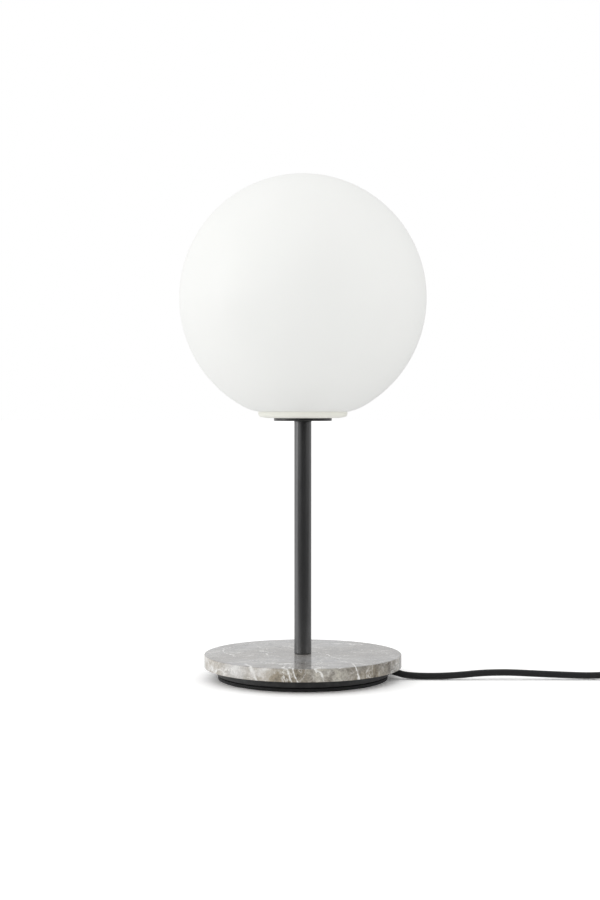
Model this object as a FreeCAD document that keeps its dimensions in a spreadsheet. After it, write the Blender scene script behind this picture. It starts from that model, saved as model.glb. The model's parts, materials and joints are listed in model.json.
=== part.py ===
"""Table lamp: an opal glass globe on a slim stem, over a marble disc and a steel plate.

Millimetres and degrees. The origin is on the floor under the stem, +Z is up, the lamp's front is
-Y and the cord leaves the base towards +X. Names of heights and places are worked out from the
driving sizes, from the floor up.
"""
import FreeCAD, Part
import math
import os
import re

import Sketcher

Vector = FreeCAD.Vector

SIZES = {
    # Foot pad of moulded rubber, with a step that lifts the plate and a hollow under the nut.
    "foot_setback": 1.0,
    "foot_thickness": 2.5,
    "foot_web": 1.0,
    "foot_rim": 21.0,
    "groove_depth": 2.0,
    "groove_height": 1.0,
    # Steel plate: a ballast disc with a pocket for the nut and a slot for the cord.
    "plate_radius": 70.0,
    "plate_thickness": 6.0,
    "plate_edge": 0.4,
    "plate_web": 1.5,
    "nut_pocket_radius": 24.0,
    "slot_width": 7.6,
    "exit_angle": -6.0,
    # Marble disc.
    "marble_radius": 80.2,
    "marble_thickness": 10.2,
    "marble_edge": 0.9,
    # Threaded tubes that hold the stem to the base and the lampholder to the stem.
    "nipple_radius": 4.95,
    "nipple_bore": 3.5,
    "nipple_grip": 16.0,
    "thread_gap": 0.05,
    "bore_gap": 0.5,
    "nut_across": 14.0,
    "nut_thickness": 2.4,
    "nipple_proud": 0.4,
    "nipple_end": 1.0,
    "screw_end_gap": 0.3,
    "washer_radius": 10.0,
    "washer_thickness": 0.8,
    # Stem.
    "gasket_thickness": 0.3,
    "gasket_setback": 0.2,
    "stem_radius": 7.0,
    "stem_length": 188.9,
    # Cup of the lampholder: the dark flange that shows, and its sleeve inside the globe's well.
    "flange_radius": 23.5,
    "flange_thickness": 2.2,
    "flange_edge": 0.5,
    "sleeve_radius": 20.0,
    "sleeve_wall": 1.2,
    "sleeve_height": 40.0,
    # Lampholder inside the cup.
    "lock_nut_thickness": 3.0,
    "holder_radius": 18.2,
    "holder_wall": 1.8,
    "holder_boss_radius": 9.5,
    "holder_boss_height": 4.0,
    "boss_step": 1.0,
    "holder_cone_height": 6.5,
    "holder_rim_height": 20.0,
    "ledge_width": 1.9,
    "ledge_height": 12.0,
    "insert_thickness": 5.0,
    "insert_gap": 0.2,
    "contact_radius": 4.0,
    "contact_height": 2.0,
    "lip_thickness": 1.6,
    "lip_gap": 0.1,
    "rivet_bore": 1.0,
    "tab_length": 4.0,
    "tab_width": 4.0,
    "tab_thickness": 1.0,
    "tab_gap": 0.3,
    "set_screw_radius": 1.5,
    "terminal_side": 5.0,
    "terminal_height": 4.5,
    "terminal_offset": 6.0,
    "terminal_screw_radius": 1.6,
    "terminal_screw_height": 1.2,
    # Edison screw, 7 threads to the inch: ridges and grooves are cut by one round tool.
    "thread_pitch": 3.629,
    "thread_groove": 1.25,
    "cap_crest": 13.05,
    "cap_root": 12.05,
    "shell_crest": 12.45,
    "shell_root": 13.45,
    "shell_wall": 0.5,
    "shell_height": 24.0,
    "thread_start": 1.0,
    "cap_thread_height": 22.4,
    # Cap on the globe's stem.
    "cap_height": 26.5,
    "cap_bore": 11.5,
    "cap_skirt": 6.5,
    "cap_contact_radius": 4.5,
    "cap_contact_height": 1.4,
    "cap_pin_radius": 1.0,
    "cap_plug_height": 2.4,
    "cap_shoulder": 0.5,
    "neck_gap": 0.1,
    "neck_bore": 9.5,
    "neck_step": 1.0,
    "cap_pin_end": 1.6,
    # Silicone ring between flange and collar.
    "seat_ring_height": 1.2,
    "seat_ring_gap": 0.4,
    "seat_ring_width": 2.8,
    "collar_gap": 0.3,
    # Collar that closes the globe, with the well for the lampholder.
    "collar_radius": 36.0,
    "collar_height": 4.7,
    "collar_floor": 3.1,
    "collar_edge": 2.4,
    "well_gap": 2.0,
    "well_wall": 2.0,
    "spigot_height": 5.0,
    "spigot_wall": 2.0,
    "ceiling_thickness": 2.0,
    # Glass globe: a sphere that turns in more tightly round its mouth.
    "globe_radius": 100.0,
    "glass_wall": 2.5,
    "mouth_turn_radius": 45.0,
    "mouth_turn_angle": 30.0,
    "mouth_radius": 37.0,
    "mouth_wall": 2.5,
    "seal_thickness": 0.3,
    "seal_gap": 0.7,
    "seal_height": 2.0,
    # Lamp engine inside the globe.
    "board_ring_height": 4.0,
    "board_ring_wall": 3.0,
    "board_gap": 0.7,
    "board_thickness": 1.6,
    "sink_wall": 1.5,
    "sink_height": 22.0,
    "sink_top": 2.5,
    "sink_lip": 4.0,
    "engine_gap": 0.2,
    "chip_side": 3.0,
    "chip_height": 0.8,
    "chip_count": 16,
    "chip_circle": 21.0,
    "engine_screw_radius": 1.5,
    "engine_screw_head": 2.8,
    "engine_screw_circle": 14.0,
    "engine_head_height": 1.6,
    "wire_radius": 0.6,
    "wire_gap": 0.1,
    "wire_offset": 2.0,
    "wire_hole": 4.0,
    # Parts on the driver board: two cans, a transformer and a chip.
    "can_radius": 5.0,
    "can_height": 12.0,
    "small_can_radius": 3.2,
    "small_can_height": 9.0,
    "transformer_side": 10.0,
    "transformer_height": 8.0,
    "driver_chip_side": 7.0,
    "driver_chip_height": 3.5,
    "driver_part_offset": 9.0,
    "lead_radius": 0.9,
    "lead_offset": 1.3,
    "lead_bend": 2.0,
    # Cord, its gland and its clamp.
    "cord_radius": 2.7,
    "cord_gap": 0.05,
    "sheath_end": 26.0,
    "gland_length": 22.0,
    "gland_width": 11.0,
    "gland_taper": 1.6,
    "clamp_setback": 8.0,
    "clamp_length": 8.0,
    "clamp_width": 26.0,
    "clamp_thickness": 1.2,
    "clamp_screw_offset": 9.0,
    "clamp_screw_radius": 1.5,
    "clamp_head_radius": 2.8,
    "clamp_head_height": 1.1,
    # Switch on the cord.
    "switch_start": 280.0,
    "switch_row": -10.0,
    "switch_length": 62.0,
    "switch_width": 28.0,
    "switch_corner": 7.0,
    "switch_edge": 2.0,
    "switch_wall": 2.0,
    "axis_height": 7.0,
    "switch_cover_height": 9.0,
    "window_length": 21.6,
    "window_width": 12.6,
    "rocker_length": 19.0,
    "rocker_side_gap": 0.3,
    "rocker_tilt": 7.0,
    "rocker_tip_rise": 1.2,
    "rocker_rise": 0.1,
    "rocker_side": 0.5,
    "rocker_foot": 3.0,
    "rocker_lift": 0.4,
    "pivot_depth": 4.0,
    "pivot_radius": 1.2,
    "pivot_gap": 0.06,
    "cheek_length": 9.0,
    "cheek_thickness": 1.8,
    "cheek_drop": 3.0,
    "pin_end_gap": 0.2,
    "switch_boss_radius": 3.2,
    "switch_boss_along": 21.0,
    "switch_boss_across": 8.0,
    "switch_screw_radius": 1.25,
    "switch_head_radius": 2.4,
    "switch_head_height": 1.4,
    "head_gap": 0.2,
    "cover_screw_depth": 6.0,
    "block_length": 7.0,
    "block_width": 8.0,
    "block_height": 3.0,
    "block_offset": 15.0,
    "bridge_width": 4.0,
    "bridge_thickness": 0.6,
    # Plug with two round pins.
    "plug_start": 266.0,
    "plug_clearance": 14.5,
    "pin_radius": 2.0,
    "pin_length": 19.0,
    "pin_root": 8.0,
    "pin_root_radius": 1.6,
    "pin_spacing": 19.0,
    "plug_length": 36.0,
    "plug_width": 35.0,
    "plug_waist": 15.0,
    "plug_edge": 2.5,
    "relief_length": 20.0,
    "relief_radius": 5.0,
    "relief_tip_radius": 3.4,
    # Coil of the put-away length.
    "coil_place": 412.0,
    "coil_inner_radius": 21.7,
    "coil_step": 6.1,
    "coil_layer": 6.0,
    "coil_turns_in": 3.25,
    "coil_turns_out": 2.75,
    "coil_climb": 0.5,
    # Slopes by which the cord comes down from the gland, the switch, the coil and the plug.
    "gland_straight": 7.5,
    "gland_slope_end": 21.0,
    "switch_straight": 14.0,
    "link_straight": 13.4,
    "tail_straight": 16.0,
    "tail_slope_end": 38.0,
}

PLACES = {
    # Heights of the base, from the floor up.
    "plate_base": "foot_thickness + groove_height",
    "foot_radius": "plate_radius - foot_setback",
    "foot_hollow_radius": "foot_radius - groove_depth - foot_rim",
    "plate_top": "plate_base + plate_thickness",
    "marble_top": "plate_top + marble_thickness",
    "stem_base": "marble_top + gasket_thickness",
    "stem_top": "stem_base + stem_length",
    "pocket_roof": "plate_top - plate_web",
    "washer_base": "pocket_roof - washer_thickness",
    "nut_base": "washer_base - nut_thickness",
    "nipple_hole": "nipple_radius + thread_gap",
    # Lampholder.
    "flange_top": "stem_top + flange_thickness",
    "holder_base": "flange_top + lock_nut_thickness",
    "holder_rim": "holder_base + holder_rim_height",
    "holder_bore": "holder_radius - holder_wall",
    "ledge_level": "holder_base + ledge_height",
    "insert_radius": "holder_bore - insert_gap",
    "insert_top": "ledge_level + insert_thickness",
    "contact_plane": "insert_top + contact_height",
    "shell_top": "insert_top + shell_height",
    "shell_outside": "shell_root + shell_wall",
    "thread_level": "contact_plane + thread_start",
    # Globe's screw cap and collar.
    "cap_contact_top": "contact_plane + cap_contact_height",
    "cap_base": "contact_plane + cap_skirt",
    "ceiling_base": "contact_plane + cap_height",
    "ceiling_top": "ceiling_base + ceiling_thickness",
    "neck_radius": "cap_bore - neck_gap",
    "cap_plug_top": "cap_base + cap_plug_height",
    "collar_base": "flange_top + collar_gap",
    "recess_roof": "flange_top + seat_ring_height",
    "ring_inside": "sleeve_radius + seat_ring_gap",
    "ring_outside": "ring_inside + seat_ring_width",
    "well_radius": "sleeve_radius + well_gap",
    "well_outside": "well_radius + well_wall",
    "collar_top": "collar_base + collar_height",
    "glass_base": "collar_top + seal_thickness",
    # Mouth of the glass: the tighter arc's centre, and from it the globe's own centre.
    "mouth_centre_radius": "(globe_radius - mouth_turn_radius) * sin(mouth_turn_angle)",
    "mouth_reach": "mouth_radius - mouth_centre_radius",
    "mouth_centre_level": "glass_base + sqrt(mouth_turn_radius^2 - mouth_reach^2)",
    "globe_level": "mouth_centre_level + (globe_radius - mouth_turn_radius) * cos(mouth_turn_angle)",
    "mouth_bore": "mouth_radius - mouth_wall",
    "spigot_radius": "mouth_bore - seal_gap",
    # Lamp engine.
    "sink_bore": "well_outside - sink_wall",
    "board_base": "ceiling_top + board_ring_height",
    "board_top": "board_base + board_thickness",
    "board_radius": "sink_bore - board_gap",
    "sink_top_level": "ceiling_top + sink_height",
    "light_radius": "well_outside + sink_lip",
    "light_top": "sink_top_level + board_thickness",
    # Cord in the base, switch, plug and coil.
    "clamp_place": "foot_hollow_radius - clamp_setback",
    "cord_level": "plate_base + plate_thickness / 2",
    "gland_start": "plate_radius - gland_length",
    "switch_end": "switch_start + switch_length",
    "switch_place": "switch_start + switch_length / 2",
    "switch_top": "axis_height + switch_cover_height",
    "pivot_level": "switch_top - pivot_depth",
    "rocker_width": "window_width - 2 * rocker_side_gap",
    "plug_face": "plug_start + pin_length",
    "plug_back": "plug_face + plug_length",
    "relief_end": "plug_back + relief_length",
    "coil_outer_radius": "coil_inner_radius + (coil_turns_in + coil_climb / 2) * coil_step",
    "coil_exit_radius": "coil_inner_radius + (coil_turns_out + coil_climb / 2) * coil_step",
    "plug_row": "marble_radius + plug_clearance",
    "coil_row": "plug_row - coil_exit_radius",
    "coil_start_row": "coil_row - coil_outer_radius",
    "coil_exit_level": "cord_radius + coil_layer",
}

doc = FreeCAD.newDocument("lamp")
sub_parts = []


# ---------------------------------------------------------------- sheet and expressions


def bound(text, own_sheet=False):
    """An expression in which every size and place is named with its sheet."""

    def with_sheet(word):
        name = word.group(0)
        if name in SIZES:
            return "Sizes." + name
        return "Places." + name if name in PLACES and not own_sheet else name

    return re.sub(r"[a-z][a-z_]+", with_sheet, text)


def fill_sheet(name, cells):
    sheet = doc.addObject("Spreadsheet::Sheet", name)
    for row, (alias, content) in enumerate(cells.items(), 1):
        sheet.set(f"A{row}", alias)
        sheet.set(f"B{row}", content)
        sheet.setAlias(f"B{row}", alias)
    doc.recompute()
    return sheet


sizes = fill_sheet("Sizes", {name: str(value) for name, value in SIZES.items()})
fill_sheet("Places", {name: "=" + bound(text, True) for name, text in PLACES.items()})


def number(text):
    """The value of an expression now, in millimetres or degrees."""
    return float(sizes.evalExpression(bound(text)))


def spot(*texts):
    return Vector(*(number(text) for text in texts))


# ---------------------------------------------------------------- sketches and features


def new_body(label, several=False):
    body = doc.addObject("PartDesign::Body", label)
    body.Label = label
    body.AllowCompound = several
    sub_parts.append(body)
    return body


def sketch_on(body, role, offset="0"):
    """An empty sketch on the body's own plane, moved along the plane's normal."""
    plane = next(item for item in body.Origin.OriginFeatures if item.Role == role)
    sketch = body.newObject("Sketcher::SketchObject", body.Label + "_sketch")
    sketch.AttachmentSupport = (plane, [""])
    sketch.MapMode = "FlatFace"
    sketch.setExpression(".AttachmentOffset.Base.z", bound(offset))
    return sketch


def arc_between(start, end, radius, side):
    """The arc shorter than half a turn, with its centre left (1) or right (-1) of the way."""
    chord = end.sub(start)
    middle = (start + end) * 0.5
    inward = Vector(-chord.y, chord.x, 0).normalize() * side
    centre = middle + inward * math.sqrt(max(radius**2 - (chord.Length / 2) ** 2, 0))
    turns = [math.atan2(place.y - centre.y, place.x - centre.x) for place in (start, end)]
    if side < 0:
        turns.reverse()
    return Part.ArcOfCircle(Part.Circle(centre, Vector(0, 0, 1), radius), *turns)


def pin_down(sketch, kind, where, text):
    """A constraint whose value is bound to an expression."""
    index = sketch.addConstraint(Sketcher.Constraint(kind, *where, number(text)))
    sketch.setExpression(f"Constraints[{index}]", bound(text))


def draw_outline(sketch, points):
    """A closed outline. A point is (x, y), or (x, y, radius, side) where an arc leaves it."""
    places = [spot(point[0], point[1], "0") for point in points]
    first = sketch.GeometryCount
    ends = []
    for index, point in enumerate(points):
        start, end = places[index], places[(index + 1) % len(points)]
        if len(point) == 2:
            sketch.addGeometry(Part.LineSegment(start, end), False)
            ends.append((1, 2))
        else:
            radius, side = point[2:]
            sketch.addGeometry(arc_between(start, end, number(radius), side), False)
            ends.append((1, 2) if side > 0 else (2, 1))
    for index, point in enumerate(points):
        edge, after = first + index, first + (index + 1) % len(points)
        following = ends[(index + 1) % len(points)][0]
        sketch.addConstraint(
            Sketcher.Constraint("Coincident", edge, ends[index][1], after, following)
        )
        pin_down(sketch, "DistanceX", (-1, 1, edge, ends[index][0]), point[0])
        pin_down(sketch, "DistanceY", (-1, 1, edge, ends[index][0]), point[1])
        if len(point) > 2:
            pin_down(sketch, "Radius", (edge,), point[2])


def draw_circle(sketch, x, y, radius):
    place = spot(x, y, "0")
    edge = sketch.addGeometry(Part.Circle(place, Vector(0, 0, 1), number(radius)), False)
    pin_down(sketch, "DistanceX", (-1, 1, edge, 3), x)
    pin_down(sketch, "DistanceY", (-1, 1, edge, 3), y)
    pin_down(sketch, "Radius", (edge,), radius)


def rectangle(x_low, x_high, y_low, y_high):
    return [(x_low, y_low), (x_high, y_low), (x_high, y_high), (x_low, y_high)]


def centred(length, width, x="0", y="0"):
    along, beside = f"({length}) / 2", f"({width}) / 2"
    return rectangle(f"{x} - {along}", f"{x} + {along}", f"{y} - {beside}", f"{y} + {beside}")


def hexagon(across):
    corner = f"{across} / 2 / cos(30)"
    return [(f"{corner} * cos({turn})", f"{corner} * sin({turn})") for turn in range(0, 360, 60)]


def extrude(body, sketch, length, cut=False, midplane=False):
    kind = "PartDesign::Pocket" if cut else "PartDesign::Pad"
    feature = body.newObject(kind, body.Label + ("_cut" if cut else "_pad"))
    feature.Profile = sketch
    feature.setExpression("Length", bound(length))
    feature.Midplane = midplane
    body.Tip = feature
    doc.recompute()
    return feature


def pad_outline(body, outlines, base, height):
    sketch = sketch_on(body, "XY_Plane", base)
    for outline in outlines:
        draw_outline(sketch, outline)
    return extrude(body, sketch, height)


def pad_circles(body, circles, base, height):
    sketch = sketch_on(body, "XY_Plane", base)
    for circle in circles:
        draw_circle(sketch, *circle)
    return extrude(body, sketch, height)


def cut_outline(body, outlines, base, height):
    """Cut upright openings from base up to base + height."""
    sketch = sketch_on(body, "XY_Plane", f"{base} + {height}")
    for outline in outlines:
        draw_outline(sketch, outline)
    return extrude(body, sketch, height, cut=True)


def cut_circles(body, circles, base, height):
    sketch = sketch_on(body, "XY_Plane", f"{base} + {height}")
    for circle in circles:
        draw_circle(sketch, *circle)
    return extrude(body, sketch, height, cut=True)


def across(body, role, circles, offset, length, cut=False):
    """Round bars or holes that cross the body, centred on the offset plane."""
    sketch = sketch_on(body, role, offset)
    for circle in circles:
        draw_circle(sketch, *circle)
    return extrude(body, sketch, length, cut=cut, midplane=True)


def turned(label, points):
    """A body turned about the Z axis from its half section."""
    body = new_body(label)
    sketch = sketch_on(body, "XZ_Plane")
    draw_outline(sketch, points)
    feature = body.newObject("PartDesign::Revolution", label + "_turn")
    feature.Profile = sketch
    feature.ReferenceAxis = (sketch, ["V_Axis"])
    feature.Angle = 360
    doc.recompute()
    return body


def tube(label, inside, outside, base, top):
    return turned(label, rectangle(inside, outside, base, top))


def thread(body, radius, level, height):
    """Cut a right-hand screw groove with a round tool on the given radius."""
    sketch = sketch_on(body, "XZ_Plane")
    draw_circle(sketch, radius, level, "thread_groove")
    feature = body.newObject("PartDesign::SubtractiveHelix", body.Label + "_thread")
    feature.Profile = sketch
    feature.ReferenceAxis = (sketch, ["V_Axis"])
    feature.Mode = "pitch-height-angle"
    feature.setExpression("Pitch", bound("thread_pitch"))
    feature.setExpression("Height", bound(height))
    body.Tip = feature
    doc.recompute()


def round_edges(body, chosen, radius):
    """Fillet the edges of the body for which chosen(edge) holds."""
    base = body.Tip
    names = [f"Edge{index}" for index, edge in enumerate(base.Shape.Edges, 1) if chosen(edge)]
    feature = body.newObject("PartDesign::Fillet", body.Label + "_round")
    feature.Base = (base, names)
    feature.setExpression("Radius", bound(radius))
    body.Tip = feature
    doc.recompute()


def is_circle(edge, radius, level):
    """True for a whole circle of this radius about the Z axis at this height."""
    return (
        isinstance(edge.Curve, Part.Circle)
        and abs(edge.Curve.Radius - number(radius)) < 1e-3
        and abs(edge.CenterOfMass.z - number(level)) < 1e-3
    )


def lies_at(edge, level):
    return max(abs(edge.BoundBox.ZMin - level), abs(edge.BoundBox.ZMax - level)) < 1e-3


def is_upright(edge):
    ends = [vertex.Point for vertex in edge.Vertexes]
    return len(ends) == 2 and (ends[0] - ends[1]).cross(Vector(0, 0, 1)).Length < 1e-6


def place(body, x="0", y="0", z="0", yaw="0", pitch="0"):
    """Move the body, after turning it by pitch about Y and then yaw about Z."""
    turn = f"rotation({bound(yaw)}; {bound(pitch)}; 0)"
    body.setExpression(
        "Placement", f"placement(vector({bound(x)}; {bound(y)}; {bound(z)}); {turn})"
    )
    doc.recompute()


def turn_to_exit(body):
    """Turn a body of the base to the direction in which the cord leaves."""
    place(body, yaw="exit_angle")


# ---------------------------------------------------------------- cords


def rounded_path(points, bend=None):
    """Straight runs through the points, joined by tangent arcs, as one wire.

    An arc takes 0.45 of its shorter run, or the given bend radius.
    """
    edges = []
    radii = []
    start = points[0]
    for before, corner, after in zip(points, points[1:], points[2:]):
        back, ahead = (before - corner), (after - corner)
        half_turn = (math.pi - back.getAngle(ahead)) / 2
        reach = bend * math.tan(half_turn) if bend else 0.45 * min(back.Length, ahead.Length)
        radii.append(reach / math.tan(half_turn))
        back.normalize()
        ahead.normalize()
        arc_start, arc_end = corner + back * reach, corner + ahead * reach
        inward = (back + ahead).normalize()
        centre = corner + inward * (radii[-1] / math.cos(half_turn))
        middle = centre - inward * radii[-1]
        edges.append(Part.LineSegment(start, arc_start).toShape())
        edges.append(Part.Arc(arc_start, middle, arc_end).toShape())
        start = arc_end
    edges.append(Part.LineSegment(start, points[-1]).toShape())
    return Part.Wire(edges), radii


def swept(path, start, direction, radius):
    """A round solid along the path."""
    section = Part.Wire(Part.Circle(start, direction, radius).toShape())
    return path.makePipeShell([section], True, False)


def add_solid(label, shape):
    feature = doc.addObject("Part::Feature", label)
    feature.Label = label
    feature.Shape = shape
    sub_parts.append(feature)
    return feature


def free_cord(label, points, radius, bend=None):
    path, radii = rounded_path(points, bend)
    solid = swept(path, points[0], points[1] - points[0], radius)
    share = solid.Volume / (math.pi * radius**2 * path.Length)
    print(
        f"{label}: {path.Length:.1f} mm long, least bend {min(radii, default=0):.1f} mm,"
        f" volume {share:.4f} of section times length"
    )
    return add_solid(label, solid)


def biarc(start, start_way, end, end_way):
    """Two arcs that join two places, tangent to the way at each and to each other."""
    gap = end - start
    ways = start_way + end_way
    level = 2 * (1 - start_way.dot(end_way))
    lean = gap.dot(ways)
    reach = (math.sqrt(lean**2 + level * gap.dot(gap)) - lean) / level
    joint = (start + end + (start_way - end_way) * reach) * 0.5
    return [arc_from(start, start_way, joint), arc_from(end, end_way * -1, joint)]


def arc_from(start, way, end):
    """The arc that leaves start along way and ends at end."""
    chord = end - start
    normal = chord - way * chord.dot(way)
    normal.normalize()
    radius = chord.dot(chord) / (2 * chord.dot(normal))
    centre = start + normal * radius
    middle_way = ((start - centre).normalize() + (end - centre).normalize()).normalize()
    return Part.Arc(start, centre + middle_way * radius, end).toShape()


def coil_knots():
    """Places and ways at each quarter turn: in along the floor, up one layer, and out on top."""
    inner, step, layer = (number(name) for name in ("coil_inner_radius", "coil_step", "coil_layer"))
    turns_in, turns_out = number("coil_turns_in"), number("coil_turns_out")
    climb = number("coil_climb")
    centre = spot("coil_place", "coil_row", "cord_radius")
    start_turn = -0.25

    def at(turn):
        radius = inner + abs(turn - turns_in - climb / 2) * step
        climbed = min(max((turn - turns_in) / climb, 0), 1)
        height = layer * (1 - math.cos(math.pi * climbed)) / 2
        angle = 2 * math.pi * (start_turn + turn)
        return centre + Vector(radius * math.cos(angle), radius * math.sin(angle), height)

    def way(turn):
        """Square to the spoke, and sloped only in the climb."""
        angle = 2 * math.pi * (start_turn + turn)
        slope = at(turn + 1e-4).z - at(turn - 1e-4).z
        radius = (at(turn) - centre).Length
        run = 2e-4 * 2 * math.pi * radius
        return Vector(-math.sin(angle), math.cos(angle), slope / run).normalize()

    quarters = round((turns_in + climb + turns_out) * 4)
    return [(at(index / 4), way(index / 4)) for index in range(quarters + 1)]


def least_gap(path, radius, away):
    """The least clear distance between two stretches of the tube further apart than away."""
    spacing = 1.5
    points = path.discretize(Distance=spacing)
    skip = int(away / spacing)
    return min(
        (points[one] - points[other]).Length - 2 * radius
        for one in range(len(points))
        for other in range(one + skip, len(points))
    )


# ---------------------------------------------------------------- base


def make_foot_pad():
    step = "foot_radius - groove_depth"
    turned(
        "foot_pad",
        [
            ("0", "0"),
            ("foot_radius", "0"),
            ("foot_radius", "foot_thickness"),
            (step, "foot_thickness"),
            (step, "plate_base"),
            ("foot_hollow_radius", "plate_base"),
            ("foot_hollow_radius", "foot_web"),
            ("0", "foot_web"),
        ],
    )


def make_base_plate():
    body = turned(
        "base_plate",
        [
            ("nipple_hole", "pocket_roof"),
            ("nut_pocket_radius", "pocket_roof"),
            ("nut_pocket_radius", "plate_base"),
            ("plate_radius", "plate_base"),
            ("plate_radius", "plate_top"),
            ("nipple_hole", "plate_top"),
        ],
    )
    for level in ("plate_base", "plate_top"):
        round_edges(body, lambda edge: is_circle(edge, "plate_radius", level), "plate_edge")
    for start, width in (
        ("nut_pocket_radius - slot_width / 2", "slot_width"),
        ("gland_start", "gland_width"),
    ):
        slot = rectangle(start, "plate_radius + plate_edge", f"-{width} / 2", f"{width} / 2")
        cut_outline(body, [slot], "plate_base", "plate_thickness")
    holes = [
        ("clamp_place", f"{side} * clamp_screw_offset", "clamp_screw_radius + thread_gap")
        for side in (-1, 1)
    ]
    cut_circles(body, holes, "plate_base", "plate_thickness - plate_web")
    turn_to_exit(body)


def make_marble_disc():
    body = tube("marble_disc", "nipple_radius + bore_gap", "marble_radius", "plate_top", "marble_top")
    for level in ("plate_top", "marble_top"):
        round_edges(body, lambda edge: is_circle(edge, "marble_radius", level), "marble_edge")


def make_base_fasteners():
    tube(
        "base_nipple",
        "nipple_bore",
        "nipple_radius",
        "nut_base - nipple_proud",
        "stem_base + nipple_grip",
    )
    tube("base_washer", "nipple_hole", "washer_radius", "washer_base", "pocket_roof")
    make_hex_nut("base_nut", "nut_base", "nut_thickness")


def make_hex_nut(label, base, thickness):
    body = new_body(label)
    pad_outline(body, [hexagon("nut_across")], base, thickness)
    cut_circles(body, [("0", "0", "nipple_hole")], base, thickness)


def make_stem():
    tube("stem_gasket", "nipple_hole", "stem_radius - gasket_setback", "marble_top", "stem_base")
    tube("stem_tube", "nipple_hole", "stem_radius", "stem_base", "stem_top")


def make_cord_gland():
    """A rubber block in the plate's slot, its outer corners cut back to a taper."""
    body = new_body("cord_gland")
    half = "(gland_width / 2 - cord_gap)"
    outline = [
        ("gland_start", f"-{half}"),
        ("plate_radius - gland_taper", f"-{half}"),
        ("plate_radius", f"-{half} + gland_taper"),
        ("plate_radius", f"{half} - gland_taper"),
        ("plate_radius - gland_taper", half),
        ("gland_start", half),
    ]
    pad_outline(body, [outline], "plate_base", "plate_thickness")
    bore = [("0", "cord_level", "cord_radius + cord_gap")]
    across(body, "YZ_Plane", bore, "plate_radius", "4 * gland_length", cut=True)
    turn_to_exit(body)


def make_cord_clamp():
    body = new_body("cord_clamp")
    strap = centred("clamp_length", "clamp_width", x="clamp_place")
    pad_outline(body, [strap], "plate_base - clamp_thickness", "clamp_thickness")
    sides = [("clamp_place", f"{side} * clamp_screw_offset") for side in (-1, 1)]
    holes = [(*side, "clamp_screw_radius + thread_gap") for side in sides]
    cut_circles(body, holes, "plate_base - clamp_thickness", "clamp_thickness")
    turn_to_exit(body)

    screws = new_body("clamp_screws", several=True)
    head_base = "plate_base - clamp_thickness - clamp_head_height"
    heads = [(*side, "clamp_head_radius") for side in sides]
    pad_circles(screws, heads, head_base, "clamp_head_height")
    shank = "clamp_thickness + plate_thickness - plate_web - screw_end_gap"
    shank_base = "plate_base - clamp_thickness"
    pad_circles(screws, [(*side, "clamp_screw_radius") for side in sides], shank_base, shank)
    turn_to_exit(screws)


def make_cord_in_base():
    """The sheathed cord in its slot, and its two cores up through the stem."""
    turn = FreeCAD.Placement(Vector(), FreeCAD.Rotation(Vector(0, 0, 1), number("exit_angle")))
    ends = [spot("sheath_end", "0", "cord_level"), spot("plate_radius", "0", "cord_level")]
    cord = free_cord("cord_inner", ends, number("cord_radius"))
    cord.Placement = turn
    under_nut = number("(foot_web + nut_base - nipple_proud) / 2")
    terminal_face = number("terminal_offset - terminal_side / 2")
    for label, side in (("lead_live", 1), ("lead_neutral", -1)):
        offset = side * number("lead_offset")
        points = [
            Vector(number("sheath_end"), offset, number("cord_level")),
            Vector(number("sheath_end - 6"), offset, number("cord_level")),
            Vector(number("sheath_end - 12"), offset, under_nut),
            Vector(0, offset, under_nut),
            Vector(0, offset, number("ledge_level - terminal_height / 2")),
            Vector(0, side * terminal_face, number("ledge_level - terminal_height / 2")),
        ]
        lead = free_cord(label, points, number("lead_radius"), number("lead_bend"))
        lead.Placement = turn


# ---------------------------------------------------------------- lampholder


def make_holder_cup():
    body = turned(
        "holder_cup",
        [
            ("nipple_hole", "stem_top"),
            ("flange_radius", "stem_top"),
            ("flange_radius", "flange_top"),
            ("sleeve_radius", "flange_top"),
            ("sleeve_radius", "flange_top + sleeve_height"),
            ("sleeve_radius - sleeve_wall", "flange_top + sleeve_height"),
            ("sleeve_radius - sleeve_wall", "flange_top"),
            ("nipple_hole", "flange_top"),
        ],
    )
    round_edges(body, lambda edge: is_circle(edge, "flange_radius", "stem_top"), "flange_edge")


def make_holder_fasteners():
    nipple_top = "holder_base + holder_boss_height + nipple_end"
    tube("top_nipple", "nipple_bore", "nipple_radius", "stem_top - nipple_grip", nipple_top)
    make_hex_nut("lock_nut", "flange_top", "lock_nut_thickness")


def make_holder_cap():
    """Lower half of the lampholder: a boss on the threaded tube, a cone and a skirt."""
    cone_top = "holder_base + holder_boss_height + holder_cone_height"
    cone_inside = "holder_base + holder_boss_height + holder_wall"
    body = turned(
        "holder_cap",
        [
            ("nipple_hole", "holder_base"),
            ("holder_boss_radius", "holder_base"),
            ("holder_boss_radius", "holder_base + holder_boss_height"),
            ("holder_radius", cone_top),
            ("holder_radius", "holder_rim"),
            ("holder_bore", "holder_rim"),
            ("holder_bore", "ledge_level"),
            ("holder_bore - ledge_width", "ledge_level"),
            ("holder_bore - ledge_width", "ledge_level - boss_step"),
            ("holder_boss_radius - boss_step", cone_inside),
            ("nipple_hole", cone_inside),
        ],
    )
    screw_hole = [("0", "holder_base + holder_boss_height / 2", "set_screw_radius + thread_gap")]
    reach = "2 * (holder_boss_radius - boss_step)"
    across(body, "YZ_Plane", screw_hole, "holder_boss_radius", reach, cut=True)
    screw = new_body("set_screw")
    length = "holder_boss_radius - nipple_radius"
    middle = "(holder_boss_radius + nipple_radius) / 2"
    shank = [("0", "holder_base + holder_boss_height / 2", "set_screw_radius")]
    across(screw, "YZ_Plane", shank, middle, length)


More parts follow.
